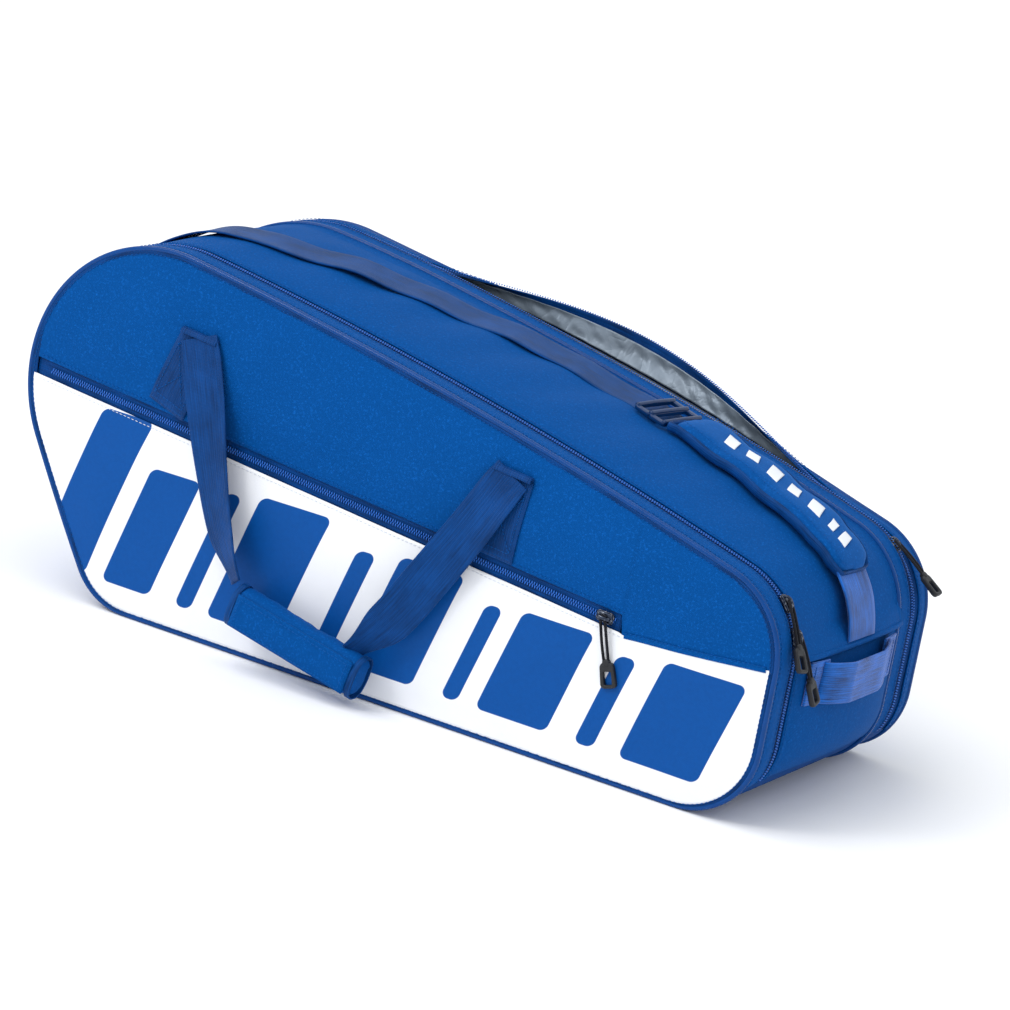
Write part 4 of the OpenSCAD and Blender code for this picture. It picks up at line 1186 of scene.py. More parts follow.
class RACKETBAG_OT_front(PieceOperator):
    """Makes the blue and white cloth of the front panel with its seams"""
    bl_idname = "racketbag.front"
    bl_label = "Front panel"

    def build(self):
        panel, wall = FrontPanel(self.bag), self.fit.cloth

        def blue_low(x):
            zip_edge = np.where(x < POCKET_END_X, pocket_zip(x) + 0.0075, panel.pocket_edge(x) - 0.003)
            return np.minimum(zip_edge, panel.top(x) - 0.0004)

        def white_high(x):
            lowered = np.where(x < POCKET_END_X, pocket_zip(x) - 0.0075, panel.pocket_edge(x))
            return np.minimum(lowered, panel.top(x))

        def white_low(x):
            return np.minimum(panel.bottom(x), white_high(x) - 0.0004)

        start = -panel.right + 0.0004
        blue = panel.sheet("front_upper_cloth", start, panel.right, blue_low, panel.top, 240, 60, 0.0012)
        dress(thicken(blue, wall), "front_door", "blue_cloth", "cloth", "front_upper_panel")
        white = panel.sheet("front_pocket_cloth", start + 0.0006, panel.right, white_low, white_high,
                            240, 60, 0.0014)
        dress(thicken(white, wall), "front_door", "white_coated_cloth", "pocket", "front_pocket_panel")
        self.seams(panel)

    def seams(self, panel):
        """Welts and stitches along both sides of the pocket zip and the white cloth's edge."""
        rows = []
        x = np.linspace(-panel.right + 0.006, panel.right - 0.003, 300)
        for offset in (0.0105, -0.0105):
            keep = x[x < POCKET_END_X + 0.002]
            z = pocket_zip(keep) + offset
            line = np.column_stack([keep, panel.y(keep, z, 0.0014), z])
            row = stitches("pocket_row", line, (0, -1.0, 0), self.fit.stitch_pitch)
            if offset > 0:
                rows.append(row)
            else:
                row.name = "front_pocket_stitches"
                dress(row, "front_door", "white_coated_cloth", "pale_thread")
        far = x[x > POCKET_END_X + 0.004]
        z = panel.pocket_edge(far) + 0.0024
        rows.append(stitches("pocket_row", np.column_stack([far, panel.y(far, z, 0.0024), z]), (0, -1.0, 0),
                             self.fit.stitch_pitch))
        dress(joined("front_panel_stitches", rows), "front_door", "blue_cloth", "thread")
        z = panel.pocket_edge(far)
        line = np.column_stack([far, panel.y(far, z, 0.0016), z])
        welt = swept("pocket_edge_welt", line, (0, 0, 1.0), band_profile(0.005, 0.0014, 0.0, 5))
        dress(welt, "front_door", "blue_cloth", "cloth")


def rear_ring(bag, s, depth, swell, folds=0.0):
    """Ring of the rear panel at share s from its middle to its rim, depth behind the panel's flat."""
    t = np.arange(0, bag.steps, 0.5)
    x, z, _, _ = bag.at(t, -0.004)
    share = bag.share(t)
    middle = np.array([0.0, 0.15 * BAG_HEIGHT / 0.325])
    px, pz = middle[0] + s * (x - middle[0]), middle[1] + s * (z - middle[1])
    y = REAR_Y + depth + swell * (1 - s * s) + 0.024 * share * s * s
    y = y + folds * 3 * (lining_folds(t * 0.6, s * 5) - 0.0028) * (1 - s ** 8)
    y = y + 0.0006 * np.sin(26 * px + 14 * pz) * np.sin(19 * pz) * (1 - s ** 4)
    return np.column_stack([px, y, pz - 0.004 * share * s * s])


class RACKETBAG_OT_rear(PieceOperator):
    """Makes the rear panel, its lining and the open lip of the rear mouth"""
    bl_idname = "racketbag.rear"
    bl_label = "Rear panel and mouth"

    def build(self):
        bag, wall, swell = self.bag, self.fit.cloth, self.bag.shape.rear_puff
        panel = polar_sheet("rear_panel_cloth", lambda s: rear_ring(bag, s, 0.0004, swell), 40, flip=False)
        dress(thicken(panel, wall), "rear_door", "blue_cloth", "cloth", "rear_panel")
        lining = polar_sheet("rear_lining_cloth", lambda s: rear_ring(bag, s, -0.0036, swell, 1.0), 60, flip=True)
        dress(thicken(lining, 0.0004), "rear_door", "silver_lining", "lining", "rear_lining")
        t = steps_between(bag.toe_t, bag.steps + bag.heel_t)
        v = np.linspace(0.36, 1.0, 14)[None, :]
        hems = seam_hems((v - 0.36) / 0.64, 0.0007, 0.12)
        lip = surface("rear_lip_cloth", bag.lip(t[:, None], v, 0.0008 + hems),
                      flip=True)
        dress(thicken(lip, wall), "rear_door", "blue_cloth", "cloth", "rear_lip")
        v = np.linspace(0.30, 1.08, 16)[None, :]
        t = steps_between(bag.steps + 6, bag.steps + 42, 6)
        ripple = np.sin(2.1 * t[:, None] + 9 * v) * np.sin(3.0 * t[:, None])
        inside = bag.lip(t[:, None], v, -0.0022 + 0.0008 * ripple)
        dress(thicken(surface("rear_lip_lining", inside), 0.0004), "rear_door", "silver_lining",
              "lining")
        self.stitches()

    def stitches(self):
        """Rows beside both rear zip edges and the seam piping."""
        bag = self.bag
        t = steps_between(bag.toe_t, bag.steps + bag.heel_t)
        out = bag.out(t)
        rows = [stitches("row", bag.lip(t, 0.42, 0.0018), out, self.fit.stitch_pitch)]
        dress(joined("rear_lip_stitches", rows), "rear_door", "blue_cloth", "thread")
        rows = [stitches("row", bag.place(t, y, 0.0016), out, self.fit.stitch_pitch)
                for y in (SEAM_Y + 0.0055, REAR_ZIP_Y - TAPE + 0.0005,
                           SEAM_Y - 0.0055, MAIN_ZIP_Y + TAPE - 0.0005)]
        dress(joined("gusset_stitches", rows), "bag", "blue_cloth", "thread")
        rows = [stitches("row", bag.place(t, y, 0.0018), out, self.fit.stitch_pitch)
                for y in (MAIN_ZIP_Y - TAPE + 0.0005, FRONT_Y + 0.0062)]
        dress(joined("front_strip_stitches", rows), "front_door", "blue_cloth", "thread")


class RACKETBAG_OT_stage(bpy.types.Operator):
    """Makes the camera, the pale floor and the soft studio light"""
    bl_idname = "racketbag.stage"
    bl_label = "Camera, floor and light"
    bl_options = {"REGISTER", "UNDO"}

    def execute(self, context):
        scene = context.scene
        scene.view_settings.view_transform = "Standard"
        lens = bpy.data.cameras.new("camera")
        lens.lens, lens.sensor_width, lens.sensor_height = LENS, SENSOR, SENSOR
        lens.clip_end = 100
        camera = bpy.data.objects.new("camera", lens)
        right, up, forward = CAMERA_AXES
        camera.matrix_world = Matrix.LocRotScale(
            Vector(CAMERA_PLACE),
            Matrix(np.column_stack([right, up, -np.array(forward)]).tolist()).to_quaternion(),
            None)
        scene.collection.objects.link(camera)
        scene.camera = camera
        corners = [(x * FLOOR_HALF, y * FLOOR_HALF, FLOOR_Z) for x, y in ((-1, -1), (1, -1), (1, 1), (-1, 1))]
        floor = new_object("floor", corners, [[0, 1, 2, 3]])
        pale, _, shader = new_material("pale floor", 0.9, 0.1)
        shader.inputs["Base Color"].default_value = (0.98, 0.98, 0.985, 1)
        floor.data.materials.append(pale)
        for name, place, aim, size, power in LAMPS:
            lamp = self.lamp(name, "AREA", place, aim, power)
            lamp.shape, lamp.size = "DISK", size
        self.lamp("sun", "SUN", SUN_PLACE, (0, 0, 0), SUN_POWER).angle = SUN_SPREAD
        self.sky(scene)
        return {"FINISHED"}

    def lamp(self, name, kind, place, aim, power):
        """A lamp at a place, turned to face a point."""
        lamp = bpy.data.lights.new(name, kind)
        lamp.energy = power
        made = bpy.data.objects.new(name, lamp)
        made.location = place
        made.rotation_euler = (Vector(aim) - Vector(place)).to_track_quat("-Z", "Y").to_euler()
        bpy.context.scene.collection.objects.link(made)
        return lamp

    def sky(self, scene):
        """World: white to the eye, soft grey as light."""
        world = bpy.data.worlds.new("studio")
        world.use_nodes = True
        tree = world.node_tree
        tree.nodes.clear()
        out = tree.nodes.new("ShaderNodeOutputWorld")
        mix = tree.nodes.new("ShaderNodeMixShader")
        path = tree.nodes.new("ShaderNodeLightPath")
        seen, light = (tree.nodes.new("ShaderNodeBackground") for _ in range(2))
        seen.inputs["Color"].default_value = (1, 1, 1, 1)
        light.inputs["Color"].default_value = (0.94, 0.97, 1, 1)
        light.inputs["Strength"].default_value = SKY_LIGHT
        tree.links.new(path.outputs["Is Camera Ray"], mix.inputs[0])
        tree.links.new(light.outputs[0], mix.inputs[1])
        tree.links.new(seen.outputs[0], mix.inputs[2])
        tree.links.new(mix.outputs[0], out.inputs["Surface"])
        scene.world = world


# ---- straps and handles ----
STRAP_MIDDLE = -0.00835
STRAP_SIDE = 0.05635
STRAP_LINE = ((-1, -0.7), (-0.55, -0.38), (-0.27, 0.28), (0, 0.8), (0.27, 1), (0.45, 0.88), (0.67, 0.55),
              (0.88, 0.05), (1.02, 0))


def strap_y(x):
    """Depth of the shoulder strap's middle over the bag at x: the line's points, rounded by a wide average."""
    share, side = np.array(STRAP_LINE).T
    grid = np.linspace(-1.6, 1.6, 321)
    spread = np.exp(-0.5 * (np.arange(-24, 25) / 9.0) ** 2)
    line = np.convolve(np.interp(grid, share, side), spread / spread.sum(), "same")
    return STRAP_MIDDLE + STRAP_SIDE * np.interp(np.asarray(x) / HALF_LENGTH, grid, line)


class Strap:
    """Lays bands along the top of the bag: along is outline steps, across follows the strap's line."""

    def __init__(self, bag):
        self.bag = bag

    def line(self, t, height):
        """Middle line at steps t, height over the cloth."""
        x, _, _, _ = self.bag.at(t)
        return self.bag.place(t, strap_y(x), height)

    def band(self, name, t, height, width, thickness, edge=0.6, steps=10, sag=0.0):
        """Webbing along the strap's line; height may be one number or one per step."""
        line = self.line(t, height)
        out = self.bag.out(t)
        tangent = unit(np.gradient(line, axis=0))
        across = np.cross(tangent, out)
        profile = band_profile(width, thickness, edge, steps)
        profile = np.broadcast_to(profile, (len(line),) + profile.shape).copy()
        if sag:
            profile[..., 1] += sag * (profile[..., 0] / (width / 2)) ** 2
        return swept(name, line, across, profile)


def box_stitch(name, centre, x_axis, y_axis, out, length, width, pitch, cross=True):
    """A sewn box, with its crossing lines, on a flat place."""
    centre, x_axis, y_axis = (np.asarray(v, dtype=float) for v in (centre, x_axis, y_axis))
    a, b = x_axis * length / 2, y_axis * width / 2
    corners = [centre + a + b, centre - a + b, centre - a - b, centre + a - b]
    lines = list(zip(corners, corners[1:] + corners[:1]))
    if cross:
        lines += [(corners[0], corners[2]), (corners[1], corners[3])]
    rows = [stitches("row", np.linspace(p, q, 24), out, pitch) for p, q in lines]
    return joined(name, rows)


class RACKETBAG_OT_handles(PieceOperator):
    """Makes both carrying handles: webbing legs, folded tops, tails with their box stitching, and the wrap"""
    bl_idname = "racketbag.handles"
    bl_label = "Carrying handles"

    def build(self):
        fit = self.fit
        self.slope = math.radians(5.6)
        panel = FrontPanel(self.bag)
        legs = {"left": ((-0.206, 0.262), 13.0), "right": ((0.112, 0.230), 0.0)}
        self.front(panel, legs)
        self.rear()
        self.wrap()

    def front(self, panel, legs):
        """Front handle: each leg rises from the wrap to its fold, and a tail hangs behind it."""
        fit, thick = self.fit, self.fit.webbing
        left = through([(-0.206, -0.1572, 0.262), (-0.199, -0.1585, 0.245), (-0.184, -0.163, 0.208),
                        (-0.166, -0.1685, 0.163), (-0.142, -0.175, 0.110), (-0.116, -0.180, 0.072)], 60)
        right = through([(0.112, -0.1572, 0.230), (0.103, -0.1585, 0.213), (0.087, -0.163, 0.179),
                         (0.062, -0.1685, 0.132), (0.034, -0.176, 0.082), (0.004, -0.180, 0.046)], 60)
        pieces = []
        for name, path, turn in (("left", left, -1), ("right", right, 1)):
            s = np.linspace(0, 1, len(path))[:, None]
            across = unit(ZIP_WAY + np.array([0, 0.55, 0]) * smooth(s, 0.25, 1.0) * turn)
            scale = (0.92 + 0.08 * smooth(s, 0.0, 0.25)) * (1 - 0.55 * smooth(s, 0.80, 1.0))
            base = band_profile(fit.handle_width, thick, 0.5, 12)
            sideways = base[None, :, 0] * scale
            bend = 0.0016 * np.sin(math.pi * s) * (sideways / (fit.handle_width / 2)) ** 2
            shape = np.stack([sideways, base[None, :, 1] + bend], axis=-1)
            pieces.append(swept("front_leg_" + name, path, across, shape))
        for name, (fold, lean) in legs.items():
            x, z = fold
            pieces.append(self.fold("front_fold_" + name, x, -0.156, z, -1))
        web = joined("front_handle_webbing_cloth", pieces)
        dress(web, "front_handle", "violet_webbing", "handle", "front_handle_webbing")
        tails, rows = [], []
        for name, (fold, lean) in legs.items():
            x, z = fold
            way = np.array([-math.sin(math.radians(lean) + 0.0975), 0, -math.cos(math.radians(lean) + 0.0975)])
            start = np.array([x, 0, z - 0.001])
            u = np.linspace(0, 0.073, 14)[:, None]
            path = start + way * u
            path[:, 1] = panel.y(path[:, 0], path[:, 2], 0.0016 + thick / 2)
            path[:2, 1] = -0.1548
            across = np.cross(way, (0, -1.0, 0))
            tails.append(swept("front_tail_" + name, path, across, band_profile(0.039, thick, 0.4, 10)))
            centre = path[7] - np.array([0, thick / 2, 0])
            end_cut = path[-1] - np.array([0, thick / 2, 0])
            rows.append(box_stitch("box", centre, way, across, (0, -1, 0), 0.050, 0.031, 0.0036))
            rows.append(stitches("row", np.linspace(end_cut - across * 0.0165 - way * 0.003,
                                                    end_cut + across * 0.0165 - way * 0.003, 20),
                                 (0, -1.0, 0), 0.0020, 0.0018))
        dress(joined("front_handle_tails", tails), "front_door", "violet_webbing", "handle",
              "front_handle_patches")
        dress(joined("front_tail_stitches", rows), "front_door", "violet_webbing", "thread")

    def fold(self, name, x, y, z, side):
        """Folded top of a handle: webbing bent round the loop's axis, over the sewn tail."""
        a = np.linspace(-0.35, math.pi + 0.25, 16)
        radius = 0.0021 + self.fit.webbing / 2
        path = np.array([x, y, z]) + radius * (np.sin(a)[:, None] * ZIP_UP - np.cos(a)[:, None] * side * FRONTWARD)
        return swept(name, path, ZIP_WAY, band_profile(0.0372, self.fit.webbing, 0.4, 12))

    def rear(self):
        """Rear handle: the same legs on the rear panel, joined by a narrower band."""
        fit, thick = self.fit, self.fit.webbing
        paths = {"left": [(-0.206, 0.1642, 0.262), (-0.196, 0.167, 0.240), (-0.160, 0.172, 0.158),
                          (-0.117, 0.1725, 0.068)],
                 "right": [(0.112, 0.1732, 0.230), (0.103, 0.1745, 0.213), (0.070, 0.1745, 0.140),
                           (0.027, 0.1725, 0.048)]}
        pieces = [swept("rear_leg_" + name, through(points, 50), ZIP_WAY,
                        band_profile(fit.handle_width, thick, 0.5, 12))
                  for name, points in paths.items()]
        a, b = np.array(paths["left"][-1]), np.array(paths["right"][-1])
        path = np.linspace(a - 0.020 * unit(b - a), b + 0.020 * unit(b - a), 40)
        path[:, 1] = 0.1752
        pieces.append(swept("rear_grip", path, (0.12, 0, 0.99),
                            band_profile(0.030, thick * 1.6, 0.4, 10)))
        for name, (x, y, z) in (("left", (-0.206, 0.162, 0.262)), ("right", (0.112, 0.171, 0.230))):
            pieces.append(self.fold("rear_fold_" + name, x, y, z, 1))
        dress(joined("rear_handle_webbing_cloth", pieces), "rear_handle", "violet_webbing", "handle",
              "rear_handle_webbing")
        frame["nodes"]["rear_handle_patches"].data.materials[0] = MATERIALS["handle"]

    def wrap(self):
        """Padded wrap round both legs, with the flap that closes it."""
        fall = math.radians(12)
        x_axis = np.array([math.cos(fall), 0, -math.sin(fall)])
        z_axis = np.array([math.sin(fall), 0, math.cos(fall)])
        middle = (low("grip_wrap") + high("grip_wrap")) / 2
        length, height, depth = 0.132, 0.040, 0.028
        u = np.linspace(-1, 1, 46)
        a = np.linspace(0, TURN, 48, endpoint=False)
        pinch = (1 - 0.10 * np.abs(u) ** 6)[:, None]
        power = 0.80
        cz = np.sign(np.cos(a)) * np.abs(np.cos(a)) ** power
        sy = np.sign(np.sin(a)) * np.abs(np.sin(a)) ** power
        crease = 1 - 0.05 * np.cos(2 * a)[None] * (1 - u[:, None] ** 2)
        ripple = 0.0005 * np.sin(9 * u[:, None] + 2 * a[None]) * np.sin(23 * u[:, None] + 1)
        points = (middle + x_axis * (u * length / 2)[:, None, None]
                  + z_axis * ((height / 2) * cz[None] * pinch * crease + ripple)[..., None]
                  + np.array([0, 1.0, 0]) * ((depth / 2) * sy[None] * pinch + ripple)[..., None])
        faces = grid_faces(len(u), len(a), round_columns=True, flip=True).tolist()
        pole = [len(u) * len(a), len(u) * len(a) + 1]
        j = np.arange(len(a))
        for k, row in ((0, 0), (1, len(u) - 1)):
            fan = np.stack([np.full(len(a), pole[k]), row * len(a) + j, row * len(a) + (j + 1) % len(a)], axis=1)
            faces += (fan if k else fan[:, ::-1]).tolist()
        ends = np.array([middle - x_axis * (length / 2 + 0.001), middle + x_axis * (length / 2 + 0.001)])
        wrap = new_object("padded_wrap", np.vstack([points.reshape(-1, 3), ends]), faces)
        wrap = swell_cloth(wrap, 0.004, 3.0, 0.0018)
        dress(wrap, "front_handle", "blue_cloth", "cloth", "grip_wrap")
        hems = []
        for sign in (-1, 1):
            ring_at = sign * (length / 2 - 0.0015)
            rim = (middle + x_axis * ring_at + z_axis * ((height / 2 + 0.0004) * cz * 0.93)[:, None]
                   + np.array([0, 1.0, 0]) * ((depth / 2 + 0.0004) * sy * 0.93)[:, None])
            hems.append(swept("wrap_hem", rim, x_axis * np.ones((len(a), 1)), band_profile(0.006, 0.0013, 0.0, 5),
                              loop=True))
        dress(joined("wrap_hems", hems), "front_handle", "blue_cloth", "strap")
        flap_low, flap_high = low("grip_wrap_flap"), high("grip_wrap_flap")
        mid = (flap_low + flap_high) / 2
        u = np.linspace(-0.5, 0.5, 30)[:, None]
        v = np.linspace(-0.5, 0.5, 14)[None, :]
        flap = (mid + x_axis * (u * 0.122)[..., None] + z_axis * (v * 0.030)[..., None]
                + FRONTWARD * (0.0016 * np.cos(math.pi * v) * np.cos(0.9 * math.pi * u) + 0.0004)[..., None])
        dress(thicken(surface("wrap_flap_cloth", flap), 0.0014), "wrap_flap", "blue_cloth", "cloth",
              "grip_wrap_flap")
        row = box_stitch("wrap_flap_stitches", mid + np.array([0, -0.0026, 0]), x_axis, z_axis, (0, -1, 0),
                         0.114, 0.024, self.fit.stitch_pitch, cross=False)
        dress(row, "wrap_flap", "blue_cloth", "thread")


def swell_cloth(piece, voxel, pressure, cap):
    """Fills a closed piece like a cushion: remesh, a short cloth run under pressure, capped, then smoothed."""
    remesh = piece.modifiers.new("even mesh", "REMESH")
    remesh.mode, remesh.voxel_size = "VOXEL", voxel
    apply_modifiers(piece)
    mesh = piece.data
    start = np.empty(len(mesh.vertices) * 3)
    mesh.vertices.foreach_get("co", start)
    cloth = piece.modifiers.new("cloth", "CLOTH")
    cloth.settings.use_pressure = True
    cloth.settings.uniform_pressure_force = pressure
    cloth.settings.effector_weights.gravity = 0
    cloth.settings.tension_stiffness = cloth.settings.compression_stiffness = 25
    scene = bpy.context.scene
    for number in range(1, 21):
        scene.frame_set(number)
    apply_modifiers(piece)
    scene.frame_set(1)
    mesh = piece.data
    moved = np.empty(len(mesh.vertices) * 3)
    mesh.vertices.foreach_get("co", moved)
    step = (moved - start).reshape(-1, 3)
    size = np.linalg.norm(step, axis=1, keepdims=True)
    step *= np.minimum(1, cap / np.maximum(size, 1e-9))
    mesh.vertices.foreach_set("co", (start + step.ravel()))
    mesh.update()
    piece.data.shade_smooth()
    finer = piece.modifiers.new("finer", "SUBSURF")
    finer.levels = finer.render_levels = 1
    return piece


def apply_modifiers(piece):
    """Replaces a piece's mesh with what its modifiers make of it."""
    graph = bpy.context.evaluated_depsgraph_get()
    mesh = bpy.data.meshes.new_from_object(piece.evaluated_get(graph))
    piece.modifiers.clear()
    piece.data = mesh
    return piece


class RACKETBAG_OT_strap(PieceOperator):
    """Makes the shoulder strap: webbing, ladder lock, padded cover and the shiny end webbing"""
    bl_idname = "racketbag.strap"
    bl_label = "Shoulder strap"

    def build(self):
        bag, fit = self.bag, self.fit
        strap = Strap(bag)
        thick = fit.webbing
        pad_t0, pad_t1, web_t0, web_t1 = 6.0, 18.0, 20.0, 45.0
        t = steps_between(web_t0 - 1.15, web_t1, 4)
        lift = 0.0030 + (0.0011 * np.sin(0.8 * t) + 0.0009) * smooth(t, web_t0, web_t0 + 2) - 0.0012
        web = strap.band("strap_webbing_cloth", t, lift, fit.strap_width, thick, sag=-0.0004)
        dress(web, "strap_web", "violet_webbing", "strap", "strap_webbing")
        t = steps_between(web_t0 - 0.4, web_t0 + 4.4, 4)
        tail = strap.band("strap_tail_cloth", t, 0.0014, fit.strap_width * 0.98, thick)
        dress(tail, "strap_web", "violet_webbing", "strap", "strap_tail")
        t = steps_between(web_t1 - 1.2, web_t1 + 1.2, 8)
        anchor = strap.band("strap_anchor_patch", t, 0.0026, fit.strap_width + 0.014, 0.0016, edge=0.0)
        dress(anchor, "bag", "blue_webbing", "cloth", "strap_anchor")
        self.pad(strap, pad_t0, pad_t1)
        t = steps_between(bag.seam_t - 0.30, pad_t0 + 0.35, 14)
        height = 0.0104 - 0.0010 * smooth(t, bag.seam_t + 1.2, pad_t0)
        end = strap.band("strap_end_webbing_cloth", t, height, 0.052, thick)
        dress(end, "strap_pad", "violet_webbing", "satin", "strap_end_webbing")
        self.lock(strap)

    def pad(self, strap, t0, t1):
        """Thick pad with a pillowed face, a bound edge and a sewn mark of plain bars."""
        fit, bag = self.fit, self.bag
        t = steps_between(t0, t1, 6)
        n = len(t)
        u = np.linspace(0, 1, n)
        ends = (1 - smooth(u, 0, 0.075)) * 0.34 + smooth(u, 0.93, 1.0) * 0.16
        half = fit.pad_width / 2 * np.clip(1 - ends, 0, 1)
        a = np.linspace(0, TURN, 36, endpoint=False)
        cx = np.sign(np.cos(a)) * np.abs(np.cos(a)) ** 0.55
        cy = np.sign(np.sin(a)) * np.abs(np.sin(a)) ** 0.8
        thin = np.clip(1 - 0.45 * (1 - smooth(u, 0, 0.06)) - 0.4 * smooth(u, 0.95, 1.0), 0.2, 1)
        profile = np.stack([half[:, None] * cx[None], fit.pad_thick / 2 * thin[:, None] * cy[None]], axis=-1)
        line = strap.line(t, 0.0006 + fit.pad_thick / 2 + 0.0008)
        out = bag.out(t)
        across = np.cross(unit(np.gradient(line, axis=0)), out)
        pad = swept("strap_pad_cloth", line, across, profile)
        pad = swell_cloth(pad, 0.0045, 3.0, 0.0016)
        dress(pad, "strap_pad", "blue_cloth", "pad", "strap_pad_cover")
        self.pad_cover(strap, t, half, line, out, across)

    def pad_cover(self, strap, t, half, line, out, across):
        """Binding round the pad's edge, its stitches and the mark."""
        fit = self.fit
        normal = np.cross(unit(np.gradient(line, axis=0)), across)
        normal = normal * np.sign(np.sum(normal * out, axis=1))[:, None]
        edge = []
        for sign in (-1, 1):
            edge.append(line + across * (sign * (half - 0.0005))[:, None])
        ring = np.vstack([edge[0], edge[1][::-1]])
        up = np.vstack([normal, normal[::-1]])
        smooth_ring = through(np.vstack([ring[::3], ring[:1]]), 260)[:-1]
        s = run_length(np.vstack([ring, ring[:1]]))
        at = np.linspace(0, s[-1], 260)[:-1]
        ups = unit(read_off(at, s, np.vstack([up, up[:1]])))
        binding = swept("strap_pad_binding", smooth_ring, ups,
                        round_profile(0.0034, 10) * np.array([1.25, 0.62]), loop=True)
        dress(binding, "strap_pad", "blue_cloth", "strap")
        rows = []
        for sign in (-1, 1):
            path = line + across * (sign * (half - 0.006))[:, None] + normal * (fit.pad_thick / 2 + 0.0010)
            rows.append(stitches("row", path[2:-2], normal[2:-2], fit.stitch_pitch))
        dress(joined("strap_pad_stitches", rows), "strap_pad", "blue_cloth", "thread")
        self.marks(strap, t, line, across, normal)

    def marks(self, strap, t, line, across, normal):
        """Plain slanted bars laid on the pad's face."""
        rows, n = [], len(t)
        for k in range(7):
            i0 = 0.15 + k * 0.105
            u = np.linspace(0, 1, 10)[:, None]
            v = np.linspace(-1, 1, 8)[None, :]
            place = (i0 + 0.056 * u + 0.022 * v) * (n - 1)
            side = v * 0.0085 * (1 if k % 2 else 1.25)
            side, place = np.broadcast_arrays(side, place)
            step = np.arange(n)
            rise = self.fit.pad_thick / 2 + 0.0027 - 9.0 * side ** 2
            middle, sideways, up = (read_off(place, step, w) for w in (line, across, normal))
            rows.append(surface("bar", middle + sideways * side[..., None] + up * rise[..., None], flip=True))
        made = joined("strap_pad_bars", [thicken(r, 0.0006) for r in rows])
        dress(made, "strap_pad", "white_coated_cloth", "ink")

    def lock(self, strap):
        """Ladder lock: a moulded frame with two openings and ribbed bars."""
        ends = strap.line(np.array([18.05, 20.15]), 0.0048)
        mid = ends.mean(axis=0)
        x_axis = unit(ends[1] - ends[0])
        y_axis = unit(np.cross(self.bag.out(np.array(19.1)), x_axis))
        z_axis = np.cross(x_axis, y_axis)
        length, width = 0.034, 0.063
        parts = []
        for centre in (-length / 4 + 0.0005, length / 4 - 0.0005):
            window = rounded_box_ring(length / 2 - 0.0055, width - 0.011, 0.0018, 7) + np.array([centre, 0])
            half = rounded_box_ring(length / 2 + 0.0008, width, 0.0035, 7) + np.array([centre, 0])
            plate = framed_plate("lock_half", half, window, 0.0040)
            parts.append(round_off(plate, 0.0009, 3))
        made = joined("ladder_lock_frame", parts)
        set_in(made, mid, x_axis, y_axis, z_axis)
        bars = []
        y = np.linspace(-width / 2 + 0.002, width / 2 - 0.002, 30)
        for centre, high_by in ((-length / 2 + 0.002, 0.0036), (0.0, 0.0040), (length / 2 - 0.002, 0.0036)):
            path = np.column_stack([np.full_like(y, centre), y, high_by + 0.0006 * np.cos(y / width * math.pi)])
            bars.append(swept("lock_bar", path, (1.0, 0, 0), round_profile(0.0021, 10)))
        bars = set_in(joined("ladder_lock_bars", bars), mid, x_axis, y_axis, z_axis)
        for piece in (made, bars):
            dress(piece, "strap_lock", "lock_plastic", "lock")
        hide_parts("ladder_lock")


class RACKETBAG_OT_grab_handle(PieceOperator):
    """Makes the grab handle at the narrow end, its sewn tabs and stitches"""
    bl_idname = "racketbag.grab_handle"
    bl_label = "Grab handle"

    def build(self):
        fit = self.fit
        lower, upper = low("grab_handle"), high("grab_handle")
        z = (lower[2] + upper[2]) / 2
        y0, y1 = lower[1], upper[1]
        reach = upper[0] - 0.0012
        y = np.linspace(y0, y1, 60)
        u = (y - y0) / (y1 - y0)
        bow = np.sin(math.pi * u ** 0.85) ** 0.8
        base = self.bag.place(np.full(60, self.bag.steps - 1.2), y, 0.0030)[:, 0]
        x = base + np.maximum(reach - HALF_LENGTH - 0.006, 0) * bow * 0.72
        path = np.column_stack([np.minimum(x, reach), y, z - 0.001 * bow])
        band = swept("grab_handle_band", path, (0, 0, 1.0), band_profile(0.036, 0.0024, 0.5, 12))
        dress(band, "end_handle", "blue_webbing", "satin", "grab_handle")
        tabs, rows = [], []
        for y_mid, side in ((y0 - 0.004, 1), (y1 + 0.004, -1)):
            y = np.linspace(y_mid - 0.014, y_mid + 0.014, 12)
            base = self.bag.place(np.full(12, self.bag.steps - 1.2), y, 0.0022)
            base[:, 2] = z
            tabs.append(swept("tab", base, (0, 0, 1.0), band_profile(0.038, 0.0020, 0.4, 12)))
            for shift in (-0.007, 0.007):
                x = np.interp(y_mid + shift, base[:, 1], base[:, 0]) + 0.0014
                line = np.column_stack([np.full(14, x), np.full(14, y_mid + shift),
                                        np.linspace(z - 0.016, z + 0.016, 14)])
                rows.append(stitches("row", line, (1.0, 0, 0), 0.0026, 0.0022, 0.0012))
        dress(joined("grab_handle_tab_cloth", tabs), "bag", "blue_webbing", "satin", "grab_handle_tabs")
        dress(joined("grab_handle_stitches", rows), "bag", "blue_webbing", "thread")


